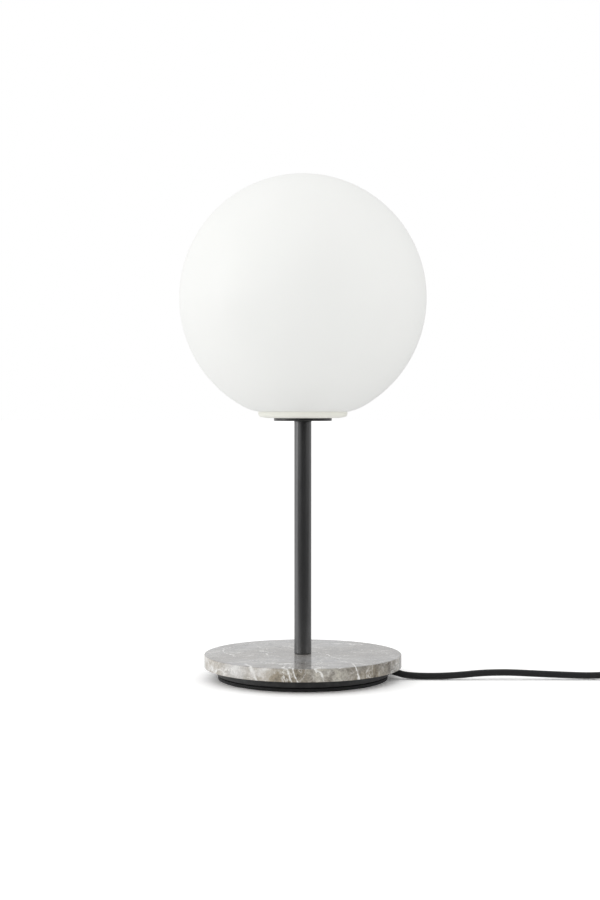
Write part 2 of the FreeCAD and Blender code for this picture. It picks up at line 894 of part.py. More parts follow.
def make_holder_body():
    """Upper half of the lampholder: a ring that clamps the insert and covers the screw shell."""
    bore = "shell_outside + insert_gap"
    turned(
        "holder_body",
        [
            (bore, "insert_top"),
            ("insert_radius", "insert_top"),
            ("insert_radius", "holder_rim"),
            ("holder_radius", "holder_rim"),
            ("holder_radius", "shell_top + lip_thickness"),
            ("shell_root + lip_gap", "shell_top + lip_thickness"),
            ("shell_root + lip_gap", "shell_top"),
            (bore, "shell_top"),
        ],
    )
    tube("holder_insert", "rivet_bore", "insert_radius", "ledge_level", "insert_top")


def make_contacts():
    tube("centre_contact", "rivet_bore", "contact_radius", "insert_top", "contact_plane")
    shell = tube("screw_shell", "shell_crest", "shell_outside", "insert_top", "shell_top")
    half_pitch_below = "thread_level - 2.5 * thread_pitch"
    whole_shell = "shell_top - thread_level + 4 * thread_pitch"
    thread(shell, "shell_root - thread_groove", half_pitch_below, whole_shell)
    side = new_body("side_contact")
    tab_end = "shell_crest - tab_gap"
    tab = rectangle(f"{tab_end} - tab_length", tab_end, "-tab_width / 2", "tab_width / 2")
    pad_outline(side, [tab], "insert_top", "tab_thickness")

    blocks = new_body("terminals", several=True)
    sides = (-1, 1)
    squares = [
        centred("terminal_side", "terminal_side", y=f"{side} * terminal_offset") for side in sides
    ]
    pad_outline(blocks, squares, "ledge_level - terminal_height", "terminal_height")
    turn_to_exit(blocks)
    screws = new_body("terminal_screws", several=True)
    heads = [("0", f"{side} * terminal_offset", "terminal_screw_radius") for side in sides]
    head_base = "ledge_level - terminal_height - terminal_screw_height"
    pad_circles(screws, heads, head_base, "terminal_screw_height")
    turn_to_exit(screws)


# ---------------------------------------------------------------- globe


def make_seat_ring():
    tube("seat_ring", "ring_inside", "ring_outside", "flange_top", "recess_roof")


def make_globe_collar():
    """Collar, well, neck for the screw cap, spigot for the glass and ring for the board."""
    recess = "ring_outside + seat_ring_gap"
    floor = "collar_base + collar_floor"
    body = turned(
        "globe_collar",
        [
            ("well_radius", "recess_roof"),
            (recess, "recess_roof"),
            (recess, "collar_base"),
            ("collar_radius", "collar_base"),
            ("collar_radius", "collar_top"),
            ("spigot_radius", "collar_top"),
            ("spigot_radius", "collar_top + spigot_height"),
            ("spigot_radius - spigot_wall", "collar_top + spigot_height"),
            ("spigot_radius - spigot_wall", floor),
            ("well_outside", floor),
            ("well_outside", "ceiling_top"),
            ("sink_bore - engine_gap", "ceiling_top"),
            ("sink_bore - engine_gap", "board_base"),
            ("sink_bore - engine_gap - board_ring_wall", "board_base"),
            ("sink_bore - engine_gap - board_ring_wall", "ceiling_top"),
            ("neck_bore", "ceiling_top"),
            ("neck_bore", "cap_plug_top + neck_step"),
            ("neck_radius", "cap_plug_top + neck_step"),
            ("neck_radius", "ceiling_base"),
            ("well_radius", "ceiling_base"),
        ],
    )
    round_edges(body, lambda edge: is_circle(edge, "collar_radius", "collar_base"), "collar_edge")


def make_glass_globe():
    inner = "(globe_radius - glass_wall)"
    inner_turn = "(mouth_turn_radius - glass_wall)"
    reach = f"sqrt({inner_turn}^2 - (mouth_bore - mouth_centre_radius)^2)"
    turned(
        "glass_globe",
        [
            ("mouth_bore", "glass_base"),
            ("mouth_radius", "glass_base", "mouth_turn_radius", 1),
            (
                "globe_radius * sin(mouth_turn_angle)",
                "globe_level - globe_radius * cos(mouth_turn_angle)",
                "globe_radius",
                1,
            ),
            ("globe_radius", "globe_level", "globe_radius", 1),
            ("0", "globe_level + globe_radius"),
            ("0", f"globe_level + {inner}", inner, -1),
            (inner, "globe_level", inner, -1),
            (
                f"{inner} * sin(mouth_turn_angle)",
                f"globe_level - {inner} * cos(mouth_turn_angle)",
                inner_turn,
                -1,
            ),
            ("mouth_bore", f"mouth_centre_level - {reach}"),
        ],
    )


def make_globe_seal():
    turned(
        "globe_seal",
        [
            ("spigot_radius", "collar_top"),
            ("collar_radius - 0.4", "collar_top"),
            ("collar_radius - 0.4", "glass_base"),
            ("mouth_bore", "glass_base"),
            ("mouth_bore", "glass_base + seal_height"),
            ("spigot_radius", "glass_base + seal_height"),
        ],
    )


def make_screw_cap():
    shell = tube("cap_shell", "cap_bore", "cap_crest", "cap_base", "ceiling_base")
    thread(shell, "cap_root + thread_groove", "thread_level", "cap_thread_height")
    turned(
        "cap_insulator",
        [
            ("cap_pin_radius", "cap_contact_top"),
            ("cap_contact_radius + cap_shoulder", "cap_contact_top"),
            ("cap_bore + cap_shoulder", "cap_base"),
            ("neck_radius", "cap_base"),
            ("neck_radius", "cap_plug_top"),
            ("cap_pin_radius", "cap_plug_top"),
        ],
    )
    turned(
        "cap_contact",
        [
            ("0", "contact_plane"),
            ("cap_contact_radius", "contact_plane"),
            ("cap_contact_radius", "cap_contact_top"),
            ("cap_pin_radius", "cap_contact_top"),
            ("cap_pin_radius", "cap_plug_top + cap_pin_end"),
            ("0", "cap_plug_top + cap_pin_end"),
        ],
    )


def make_engine():
    """Driver board, heat sink and light board over the well."""
    board = new_body("driver_board")
    pad_circles(board, [("0", "0", "board_radius")], "board_base", "board_thickness")
    parts = new_body("driver_parts", several=True)
    near, far = "-driver_part_offset", "driver_part_offset"
    pad_circles(parts, [(near, near, "can_radius")], "board_top", "can_height")
    pad_circles(parts, [(near, far, "small_can_radius")], "board_top", "small_can_height")
    transformer = centred("transformer_side", "transformer_side", x=far, y=near)
    pad_outline(parts, [transformer], "board_top", "transformer_height")
    chip = centred("driver_chip_side", "driver_chip_side", x=far, y=far)
    pad_outline(parts, [chip], "board_top", "driver_chip_height")

    turned(
        "heat_sink",
        [
            ("sink_bore", "ceiling_top"),
            ("well_outside", "ceiling_top"),
            ("well_outside", "sink_top_level - sink_top"),
            ("light_radius", "sink_top_level - sink_top"),
            ("light_radius", "sink_top_level"),
            ("wire_hole", "sink_top_level"),
            ("wire_hole", "sink_top_level - sink_top"),
            ("sink_bore", "sink_top_level - sink_top"),
        ],
    )
    sink = sub_parts[-1]
    thirds = [
        (f"engine_screw_circle * cos({turn})", f"engine_screw_circle * sin({turn})")
        for turn in (30, 150, 270)
    ]
    holes = [(*third, "engine_screw_radius + thread_gap") for third in thirds]
    cut_circles(sink, holes, "sink_top_level - sink_top", "sink_top")
    light = new_body("led_board")
    pad_circles(light, [("0", "0", "light_radius")], "sink_top_level", "board_thickness")
    cut_circles(light, holes, "sink_top_level", "board_thickness")
    cut_circles(light, [("0", "0", "wire_hole")], "sink_top_level", "board_thickness")
    screws = new_body("led_screws", several=True)
    shank = "board_thickness + sink_top"
    shanks = [(*third, "engine_screw_radius") for third in thirds]
    pad_circles(screws, shanks, "sink_top_level - sink_top", shank)
    heads = [(*third, "engine_screw_head") for third in thirds]
    pad_circles(screws, heads, "light_top", "engine_head_height")

    chips = new_body("led_chips", several=True)
    count = SIZES["chip_count"]
    squares = [
        centred(
            "chip_side",
            "chip_side",
            x=f"chip_circle * cos({360 * index / count})",
            y=f"chip_circle * sin({360 * index / count})",
        )
        for index in range(count)
    ]
    pad_outline(chips, squares, "light_top", "chip_height")


def make_engine_leads():
    """One lead from the cap's pin to the driver, one from its shell, and two to the lights."""
    leads = new_body("engine_leads", several=True)
    pin_top = "cap_plug_top + cap_pin_end"
    pad_circles(leads, [("0", "0", "wire_radius")], pin_top, f"board_base - ({pin_top})")
    shell_lead = [("neck_bore - wire_radius - wire_gap", "0", "wire_radius")]
    pad_circles(leads, shell_lead, "cap_plug_top", "board_base - cap_plug_top")
    pair = [("0", f"{side} * wire_offset", "wire_radius") for side in (-1, 1)]
    pad_circles(leads, pair, "board_top", "light_top - board_top")


# ---------------------------------------------------------------- switch on the cord


def switch_bosses(radius):
    return [
        (f"{side} * switch_boss_along", f"{side} * switch_boss_across", radius) for side in (-1, 1)
    ]


def switch_shell(label, base, height, wall_base, wall_height, outer_level):
    """One half of the switch's case, with its bosses and the cord's half holes."""
    body = new_body(label)
    pad_outline(body, [centred("switch_length", "switch_width")], base, height)
    round_edges(body, is_upright, "switch_corner")
    outer = number(outer_level)
    round_edges(body, lambda edge: lies_at(edge, outer), "switch_edge")
    inside = centred("switch_length - 2 * switch_wall", "switch_width - 2 * switch_wall")
    cut_outline(body, [inside], wall_base, wall_height)
    pad_circles(body, switch_bosses("switch_boss_radius"), wall_base, wall_height)
    cord_hole = [("0", "axis_height", "cord_radius + cord_gap")]
    across(body, "YZ_Plane", cord_hole, "0", "switch_length + 2", cut=True)
    return body


def place_on_cord(body):
    place(body, x="switch_place", y="switch_row")


def make_switch_case():
    cavity = "axis_height - switch_wall"
    bottom = switch_shell(
        "switch_bottom_shell", "0", "axis_height", "switch_wall", cavity, outer_level="0"
    )
    cut_circles(bottom, switch_bosses("switch_screw_radius + thread_gap"), "0", "axis_height")
    heads = switch_bosses("switch_head_radius + head_gap")
    cut_circles(bottom, heads, "0", "switch_head_height + head_gap")
    place_on_cord(bottom)

    cover_cavity = "switch_cover_height - switch_wall"
    top = switch_shell(
        "switch_top_shell",
        "axis_height",
        "switch_cover_height",
        "axis_height",
        cover_cavity,
        outer_level="switch_top",
    )
    cheeks = [
        centred(
            "cheek_length",
            "cheek_thickness",
            y=f"{side} * (window_width + cheek_thickness) / 2",
        )
        for side in (-1, 1)
    ]
    cheek_base = "pivot_level - cheek_drop"
    pad_outline(top, cheeks, cheek_base, f"switch_top - switch_wall / 2 - ({cheek_base})")
    window = centred("window_length", "window_width")
    cut_outline(top, [window], "axis_height", "switch_cover_height")
    pivot = [("0", "pivot_level", "pivot_radius + pivot_gap")]
    across(top, "XZ_Plane", pivot, "0", "window_width + 2 * cheek_thickness", cut=True)
    screw_holes = switch_bosses("switch_screw_radius + thread_gap")
    cut_circles(top, screw_holes, "axis_height", "cover_screw_depth")
    place_on_cord(top)

    screws = new_body("switch_screws", several=True)
    pad_circles(screws, switch_bosses("switch_head_radius"), "head_gap", "switch_head_height")
    shanks = switch_bosses("switch_screw_radius")
    shank_base = "head_gap + switch_head_height"
    shank_top = "axis_height + cover_screw_depth - screw_end_gap"
    pad_circles(screws, shanks, shank_base, f"{shank_top} - ({shank_base})")
    place_on_cord(screws)


def make_switch_rocker():
    """A shallow V on a cross pin, stored with its left end pressed: off."""
    body = new_body("switch_rocker")
    half = "rocker_length / 2"
    sole = "rocker_lift - pivot_depth"
    dip = "pivot_depth + rocker_rise"
    tip = f"{dip} + rocker_tip_rise"
    outline = [
        (f"-{half}", "rocker_side"),
        ("-rocker_foot", sole),
        ("rocker_foot", sole),
        (half, "rocker_side"),
        (half, tip),
        ("0", dip),
        (f"-{half}", tip),
    ]
    sketch = sketch_on(body, "XZ_Plane")
    draw_outline(sketch, outline)
    extrude(body, sketch, "rocker_width", midplane=True)
    pins = [("0", "0", "pivot_radius")]
    across(body, "XZ_Plane", pins, "0", "window_width + 2 * (cheek_thickness - pin_end_gap)")
    place(body, x="switch_place", y="switch_row", z="pivot_level", pitch="-rocker_tilt")


def make_switch_contacts():
    blocks = new_body("switch_contacts", several=True)
    squares = [
        centred("block_length", "block_width", x=f"{side} * block_offset") for side in (-1, 1)
    ]
    pad_outline(blocks, squares, "switch_wall", "block_height")
    place_on_cord(blocks)
    bridge = new_body("switch_bridge")
    strip = centred("2 * block_offset - block_length", "bridge_width")
    pad_outline(bridge, [strip], "switch_wall", "bridge_thickness")
    post_base = "switch_wall + bridge_thickness"
    post = centred("bridge_width", "bridge_width")
    pad_outline(bridge, [post], post_base, f"pivot_level - pivot_depth - head_gap - ({post_base})")
    place_on_cord(bridge)


# ---------------------------------------------------------------- plug and free cord


def make_plug():
    body = new_body("plug_body")
    half = "plug_width / 2"
    waist = "plug_waist / 2"
    outline = [
        ("plug_face", f"-{half}"),
        ("plug_face + plug_length / 3", f"-{half}"),
        ("plug_back", f"-{waist}"),
        ("plug_back", waist),
        ("plug_face + plug_length / 3", half),
        ("plug_face", half),
    ]
    pad_outline(body, [outline], "0", "2 * axis_height")
    face = number("plug_face")
    round_edges(body, lambda edge: edge.BoundBox.XMin > face + 1e-3 or is_upright(edge), "plug_edge")
    middles = [(f"{side} * pin_spacing / 2", "axis_height") for side in (-1, 1)]
    sockets = [(*middle, "pin_root_radius + cord_gap") for middle in middles]
    across(body, "YZ_Plane", sockets, "plug_face", "2 * pin_root", cut=True)
    place(body, y="plug_row")

    pins = new_body("plug_pins", several=True)
    bars = [(*middle, "pin_radius") for middle in middles]
    across(pins, "YZ_Plane", bars, "plug_start + pin_length / 2", "pin_length")
    tip = number("plug_start") + 1e-3
    round_edges(pins, lambda edge: edge.BoundBox.XMax < tip, "pin_radius / 2")
    roots = [(*middle, "pin_root_radius") for middle in middles]
    across(pins, "YZ_Plane", roots, "plug_face + pin_root / 2", "pin_root")
    place(pins, y="plug_row")

    relief = turned(
        "plug_relief",
        [
            ("0", "0"),
            ("relief_radius", "0"),
            ("relief_tip_radius", "relief_length"),
            ("0", "relief_length"),
        ],
    )
    place(relief, x="plug_back", y="plug_row", z="axis_height", pitch="90")


def make_free_cord():
    """From the gland along the floor to the switch, on to the coil, and from it to the plug."""
    radius = number("cord_radius")
    floor = radius
    axis = number("axis_height")
    row = number("switch_row")
    turn = FreeCAD.Rotation(Vector(0, 0, 1), number("exit_angle"))

    def leaving(distance, height):
        return turn.multVec(Vector(number("plate_radius") + distance, 0, height))

    level = number("cord_level")
    run = [
        leaving(0, level),
        leaving(number("gland_straight"), level),
        leaving(number("gland_slope_end"), floor),
        Vector(116, -11.2, floor),
        Vector(155, -8.8, 6.2),
        Vector(198, -9.8, 4.2),
        Vector(241, -10.6, floor),
        Vector(number("switch_start - switch_straight"), row, axis),
        Vector(number("switch_start"), row, axis),
    ]
    free_cord("cord_run", run, radius)

    straight = 2 * radius
    coil_x = number("coil_place")
    switch_end = number("switch_end")
    start_row = number("coil_start_row")
    link = [
        Vector(switch_end, row, axis),
        Vector(switch_end + number("link_straight"), row, axis),
        Vector(coil_x - straight - number("link_straight"), start_row, floor),
        Vector(coil_x - straight, start_row, floor),
    ]
    free_cord("cord_link", link, radius)

    knots = coil_knots()
    (first, first_way), (last, last_way) = knots[0], knots[-1]
    edges = [Part.LineSegment(first - first_way * straight, first).toShape()]
    for (start, start_way), (end, end_way) in zip(knots, knots[1:]):
        edges += biarc(start, start_way, end, end_way)
    edges.append(Part.LineSegment(last, last + last_way * straight).toShape())
    path = Part.Wire(edges)
    coil = swept(path, first - first_way * straight, first_way, radius)
    share = coil.Volume / (math.pi * radius**2 * path.Length)
    one_bend = 2 * number("coil_inner_radius")
    gap = least_gap(path, radius, one_bend)
    print(f"cord_coil: {path.Length:.1f} mm long, least gap {gap:.2f} mm, volume share {share:.4f}")
    add_solid("cord_coil", coil)

    tail_row = number("plug_row")
    top = number("coil_exit_level")
    plug_end = number("relief_end")
    tail = [
        Vector(coil_x - straight, tail_row, top),
        Vector(coil_x - number("tail_straight"), tail_row, top),
        Vector(coil_x - number("tail_slope_end"), tail_row, floor),
        Vector(plug_end + number("link_straight"), tail_row, axis),
        Vector(plug_end, tail_row, axis),
    ]
    free_cord("cord_tail", tail, radius)


def make_lamp():
    make_foot_pad()
    make_base_plate()
    make_marble_disc()
    make_base_fasteners()
    make_stem()
    make_cord_gland()
    make_cord_clamp()
    make_cord_in_base()
    make_holder_cup()
    make_holder_fasteners()
    make_holder_cap()
    make_holder_body()
    make_contacts()
    make_seat_ring()
    make_globe_collar()
    make_glass_globe()
    make_globe_seal()
    make_screw_cap()
    make_engine()
    make_engine_leads()
    make_switch_case()
    make_switch_rocker()
    make_switch_contacts()
    make_plug()
    make_free_cord()


def check_and_write():
    """Stop on a failed object or a bad shape, then write one file for each sub-part."""
    doc.recompute()
    failed = [item.Name for item in doc.Objects if {"Invalid", "Error"} & set(item.State)]
    if failed:
        raise RuntimeError(f"failed: {failed}")
    for part in sub_parts:
        if part.Shape.isNull() or not part.Shape.isValid() or not part.Shape.Solids:
            raise RuntimeError(f"{part.Label} has no valid shape")
    os.makedirs("parts", exist_ok=True)
    for part in sub_parts:
        part.Shape.exportStep(f"parts/{part.Label}.step")
        print(f"{part.Label}: {len(part.Shape.Solids)} solids, {part.Shape.Volume:.1f} cubic mm")


make_lamp()
check_and_write()
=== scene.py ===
"""Looks of a table lamp: an opal glass globe on a slim stem, over a grey marble disc.

Laid out as an add-on and run as a script. Lengths are metres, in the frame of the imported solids:
the origin is on the floor under the stem, +Z is up, the lamp's front is -Y and the cord leaves
towards +X.
"""

import json
import math
from functools import cache

import bpy
import numpy as np
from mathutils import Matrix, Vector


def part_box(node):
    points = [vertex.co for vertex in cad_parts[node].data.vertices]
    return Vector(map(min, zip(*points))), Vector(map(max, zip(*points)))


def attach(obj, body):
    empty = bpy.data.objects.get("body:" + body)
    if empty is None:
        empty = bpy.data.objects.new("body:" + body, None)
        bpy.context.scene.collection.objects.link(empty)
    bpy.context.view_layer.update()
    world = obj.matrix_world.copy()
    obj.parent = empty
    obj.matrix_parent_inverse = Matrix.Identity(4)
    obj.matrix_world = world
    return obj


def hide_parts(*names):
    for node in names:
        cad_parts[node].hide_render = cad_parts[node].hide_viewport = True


bl_info = {
    "name": "Globe table lamp",
    "version": (1, 0, 0),
    "blender": (4, 5, 0),
    "location": "View3D > Sidebar > Lamp",
    "description": "Builds the surfaces and finishes of a globe table lamp around its solids",
    "category": "Add Mesh",
}

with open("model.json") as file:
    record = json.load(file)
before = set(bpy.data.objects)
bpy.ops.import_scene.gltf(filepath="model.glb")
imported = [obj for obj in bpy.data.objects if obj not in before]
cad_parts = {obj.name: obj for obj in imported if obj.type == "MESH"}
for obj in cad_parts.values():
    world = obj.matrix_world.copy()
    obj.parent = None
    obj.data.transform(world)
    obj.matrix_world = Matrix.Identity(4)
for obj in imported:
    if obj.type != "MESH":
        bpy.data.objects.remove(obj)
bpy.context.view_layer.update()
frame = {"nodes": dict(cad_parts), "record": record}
NODES = frame["nodes"]
MM = 0.001
GLASS_LOW, GLASS_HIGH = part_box("glass_globe")
COLLAR_LOW, COLLAR_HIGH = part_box("globe_collar")
MARBLE_LOW, MARBLE_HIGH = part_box("marble_disc")
FOOT_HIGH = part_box("foot_pad")[1]
STEM_LOW, STEM_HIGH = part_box("stem_tube")
PLUG_LOW, PLUG_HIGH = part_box("plug_body")
RELIEF_LOW, RELIEF_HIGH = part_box("plug_relief")

finishes = {}  # every material by its name, filled by the finishes operator


# ---------------------------------------------------------------- settings


def number(name, text, default, **kind):
    return bpy.props.FloatProperty(name=name, description=text, default=default, **kind)


def length(name, text, default):
    return number(name, text, default, unit="LENGTH")


def tint(name, text, default):
    return bpy.props.FloatVectorProperty(
        name=name, description=text, default=default, subtype="COLOR", min=0, max=1
    )


class LampSizes(bpy.types.PropertyGroup):
    """Sizes of the lamp's visible pieces."""

    globe_radius: length("Globe radius", "Outside radius of the glass", GLASS_HIGH.x)
    glass_wall: length("Glass wall", "Thickness of the glass", 2.5 * MM)
    mouth_radius: length("Mouth radius", "Outside radius of the globe's mouth", 37 * MM)
    mouth_turn: length("Mouth turn", "Radius of the tighter turn above the mouth", 45 * MM)
    collar_radius: length("Collar radius", "Widest radius of the globe's collar", 36.2 * MM)
    marble_radius: length("Marble radius", "Radius of the marble disc", MARBLE_HIGH.x)
    marble_edge: length("Marble edge", "Rounding of the marble's upper edge", 0.7 * MM)
    marble_arris: length("Marble arris", "Rounding of the marble's lower edge", 0.3 * MM)
    stem_radius: length("Stem radius", "Radius of the stem", STEM_HIGH.x)
    stem_edge: length("Stem edge", "Rounding at both ends of the stem", 0.35 * MM)
    foot_edge: length("Foot edge", "Rounding of the foot pad's rim", 0.3 * MM)
    tread_depth: length("Tread depth", "Depth of the rings under the foot", 0.45 * MM)
    tread_pitch: length("Tread pitch", "Distance from ring to ring under the foot", 3.2 * MM)
    cord_radius: length("Cord radius", "Radius of the textile cord", 2.7 * MM)
    strap_width: length("Strap width", "Width of the strap round the coil", 13 * MM)
    strap_wall: length("Strap wall", "Thickness of the strap", 0.8 * MM)
    around: bpy.props.IntProperty(
        name="Steps around", description="Points around a turned piece", default=256, min=3
    )


class LampColours(bpy.types.PropertyGroup):
    """Colours of the lamp's visible finishes."""

    opal: tint("Opal", "Satin opal glass", (0.88, 0.885, 0.865))
    stone: tint("Stone", "Warm ground of the marble", (0.26, 0.228, 0.178))
    stone_cool: tint("Cool stone", "Cool ground of the marble", (0.36, 0.357, 0.352))
    stone_dark: tint("Dark stone", "Darker clouds in the marble", (0.105, 0.09, 0.07))
    stone_light: tint("Light stone", "Paler clouds in the marble", (0.5, 0.475, 0.42))
    stone_pale: tint("Pale stone", "Clouds where the rim is pale", (0.58, 0.57, 0.56))
    # The top's painted reflection: the grey that the polished top is drawn towards, standing in for
    # the room's reflection.
    stone_painted_reflection: tint("Polished stone", "What the top evens out to", (0.29, 0.291, 0.298))
    rust: tint("Rust", "Rusty spots in the marble", (0.2, 0.12, 0.07))
    vein: tint("Vein", "Veins in the marble", (0.8, 0.79, 0.77))
    charcoal: tint("Charcoal", "Satin metal of the stem", (0.175, 0.175, 0.177))
    cup_grey: tint("Cup grey", "Darker metal of the holder's cup", (0.085, 0.085, 0.084))
    plate_black: tint("Plate black", "Paint on the base plate", (0.022, 0.022, 0.023))
    rubber: tint("Rubber", "Foot pad and cord gland", (0.014, 0.014, 0.0145))
    collar: tint("Collar", "Moulded collar of the globe", (0.86, 0.86, 0.785))
    textile: tint("Textile", "Sleeve of the cord", (0.014, 0.014, 0.015))
    case_black: tint("Case black", "Switch and plug", (0.02, 0.02, 0.021))
    worn: tint("Worn metal", "Edges where the paint has gone", (0.3, 0.3, 0.3))
    dust: tint("Dust", "Dust on faces that look up", (0.35, 0.34, 0.32))


class StudioSettings(bpy.types.PropertyGroup):
    """The camera, the floor and the lights."""

    camera_side: length("Camera side", "Camera place along X", -2.3 * MM)
    camera_distance: length("Camera distance", "From the camera to the stem's axis", 1.3008)
    camera_height: length("Camera height", "Camera height over the floor", 0.2178)
    camera_pitch: number("Camera pitch", "How far the camera looks down", 0.025, subtype="ANGLE")
    camera_lens: number("Camera lens", "Focal length in millimetres", 64.12)
    floor_radius: length("Floor radius", "Reach of the pale floor", 30.0)
    floor_whiteness: number("Floor whiteness", "How the camera sees the floor's colour", 1.16)
    room_light: number("Room light", "Strength of the light from all around", 1.02)
    front_dimming: number("Front dimming", "How dim reflections see the room in front", 0.94)
    key_power: number("Key power", "Power of the tall soft lamp", 5.4, unit="POWER")
    key_width: length("Key width", "Width of the tall soft lamp", 0.5)
    key_height: length("Key height", "Height of the tall soft lamp", 1.7)


# ---------------------------------------------------------------- surfaces as arrays


# A row (x, y) times this is (y, -x): the way of an outline becomes its outward normal.
TO_THE_RIGHT = np.array([[0.0, -1.0], [1.0, 0.0]])


def unit(vectors):
    return vectors / np.linalg.norm(vectors, axis=-1, keepdims=True)


def circle(steps):
    """Angles once around, without the last one that repeats the first."""
    return np.linspace(0, 2 * math.pi, steps, endpoint=False)


def signed_power(values, power):
    """sign(v) |v|^p, which squares up a sine or a cosine where p is under 1."""
    return np.sign(values) * np.abs(values) ** power


def distance_along(path):
    """The running sum of the steps from point to point."""
    return np.concatenate([[0], np.cumsum(np.linalg.norm(np.diff(path, axis=0), axis=1))])


def rounded_ends(share, reach, depth):
    """Width factor of a body: 1 - d (1 - sqrt(1 - u^2)), u falling from 1 to 0 over the reach."""
    inward = np.clip(1 - np.minimum(share, 1 - share) / reach, 0, 1)
    return 1 - depth + depth * np.sqrt(1 - inward**2)


def between(share, start, end, ramp):
    """A factor that rises from 0 to 1 over the ramp after the start, and falls before the end."""
    return np.clip((share - start) / ramp, 0, 1) * np.clip((end - share) / ramp, 0, 1)


def soften(corners, steps=8):
    """A closed outline from corners of (x, y, rounding), each replaced by a round.

    A round is the rational curve ((1-t)^2 A + 2t(1-t) w P + t^2 B) / (sum of weights), with P the
    corner, A and B where it touches the runs, and w the sine of the corner's half angle, which
    is a true arc. One more point lies on each run beside it, so flat faces shade flat.
    """
    table = np.asarray(corners, float)
    places, rounds = table[:, :2], table[:, 2:]
    back = unit(np.roll(places, 1, 0) - places)
    ahead = unit(np.roll(places, -1, 0) - places)
    half = np.arccos(np.clip((back * ahead).sum(1, keepdims=True), -1, 1)) / 2
    reach = rounds / np.tan(half)
    start, end = (places + back * reach)[:, None], (places + ahead * reach)[:, None]
    t = np.linspace(0, 1, steps)[None, :, None]
    pull = 2 * t * (1 - t) * np.sin(half)[:, None]
    curve = (1 - t) ** 2 * start + pull * places[:, None] + t**2 * end
    curve = curve / ((1 - t) ** 2 + pull + t**2)
    beside = 1.4 * reach
    before = (places + back * beside)[:, None]
    after = (places + ahead * beside)[:, None]
    return np.concatenate([before, curve, after], axis=1).reshape(-1, 2)


def surface(name, grid, along=None, closed=False):
    """A mesh from a grid of points that wraps in its columns.

    Faces join point (i, j) to (i, j+1), (i+1, j+1) and (i+1, j). A closed grid wraps in its rows
    too. An open one is shut at each end by a fan round the middle of its last row, so a row of
    no width is a pole. UV is (share of the way around, distance along).
    """
    rows, columns = grid.shape[:2]
    row = np.arange(rows if closed else rows - 1)[:, None]
    column = np.arange(columns)[None, :]
    below, above = row * columns, (row + 1) % rows * columns
    beside = (column + 1) % columns
    corners = [below + column, below + beside, above + beside, above + column]
    faces = np.stack(np.broadcast_arrays(*corners), -1).reshape(-1, 4).tolist()
    along = np.arange(rows, dtype=float) if along is None else along
    along = np.append(along, along[-1] + (along[-1] - along[-2]))
    spots = [(column, row), (column + 1, row), (column + 1, row + 1), (column, row + 1)]
    uv = [np.stack(np.broadcast_arrays(turn / columns, along[up]), -1) for turn, up in spots]
    uv = np.stack(uv, -2).reshape(-1, 2)
    points = grid.reshape(-1, 3)
    if not closed:
        first, last = rows * columns, rows * columns + 1
        points = np.concatenate([points, grid[0].mean(0)[None], grid[-1].mean(0)[None]])
        ring = np.arange(columns)
        following = (ring + 1) % columns
        top = (rows - 1) * columns
        starts = np.stack([following, ring, np.full(columns, first)], -1)
        ends = np.stack([ring + top, following + top, np.full(columns, last)], -1)
        faces += starts.tolist() + ends.tolist()
        uv = np.concatenate([uv, np.zeros((6 * columns, 2))])
    mesh = bpy.data.meshes.new(name)
    mesh.from_pydata(points.tolist(), [], faces)
    mesh.uv_layers.new(name="UVMap").data.foreach_set("uv", uv.ravel())
    mesh.polygons.foreach_set("use_smooth", np.ones(len(faces), bool))
    mesh.update()
    piece = bpy.data.objects.new(name, mesh)
    bpy.context.scene.collection.objects.link(piece)
    return piece


def revolve(name, profile, around, closed=True):
    """A profile of (radius, height) turned about Z: (r cos a, r sin a, z)."""
    angle = circle(around)
    radius, height = profile[:, :1], profile[:, 1:]
    grid = np.stack([radius * np.cos(angle), radius * np.sin(angle), height + 0 * angle], -1)
    return surface(name, grid, closed=closed)


def turned_ring(name, radii, heights, roundings, around, steps=8):
    """A disc or pipe: a box from hole to rim and low to high, its corners rounded, about Z.

    The roundings are those of the hole, of the rim's lower edge and of its upper edge.
    """
    (hole, rim), (low, high), (inner, lower, upper) = radii, heights, roundings
    corners = [(hole, low, inner), (rim, low, lower), (rim, high, upper), (hole, high, inner)]
    return revolve(name, soften(corners, steps), around)


def sleeve(name, path, radius, around):
    """A tube on a path: each ring is path + r (cos a * side - sin a * up).

    The side is the way times Z, so it stays level, and up is the side times the way.
    """
    way = unit(np.gradient(path, axis=0))[:, None]
    side = unit(np.cross(way, (0.0, 0.0, 1.0)))
    up = np.cross(side, way)
    angle = circle(around)[:, None]
    ring = np.cos(angle) * side - np.sin(angle) * up
    return surface(name, path[:, None] + radius * ring, along=distance_along(path))


def loft(name, stations, half_width, half_height, power, around, origin):
    """A rounded body along X: the section |y/w|^p + |z/h|^p = 1, with w and h by station.

    Its points are y = w sign(cos a)|cos a|^(2/p) and z = h sign(sin a)|sin a|^(2/p).
    """
    angle = circle(around)
    y = half_width[:, None] * signed_power(np.cos(angle), 2 / power)
    z = half_height[:, None] * signed_power(np.sin(angle), 2 / power)
    grid = np.stack([stations[:, None] + 0 * angle, y, z], -1)
    return surface(name, grid + np.array(origin), along=stations)


def centreline(name, points):
    """The smooth line of a route, read from a NURBS spline with the route's points."""
    curve = bpy.data.curves.new(name, "CURVE")
    curve.dimensions = "3D"
    curve.resolution_u = 10
    spline = curve.splines.new("NURBS")
    spline.points.add(len(points) - 1)
    weights = np.ones((len(points), 1))
    spline.points.foreach_set("co", np.hstack([points, weights]).ravel())
    spline.order_u = 3
    spline.use_endpoint_u = True
    holder = bpy.data.objects.new(name, curve)
    bpy.context.scene.collection.objects.link(holder)
    bpy.context.view_layer.update()
    line = bpy.data.meshes.new_from_object(holder)
    path = np.zeros(len(line.vertices) * 3)
    line.vertices.foreach_get("co", path)
    bpy.data.objects.remove(holder)
    bpy.data.meshes.remove(line)
    return path.reshape(-1, 3)


def dress(piece, material):
    piece.data.materials.clear()
    piece.data.materials.append(material)


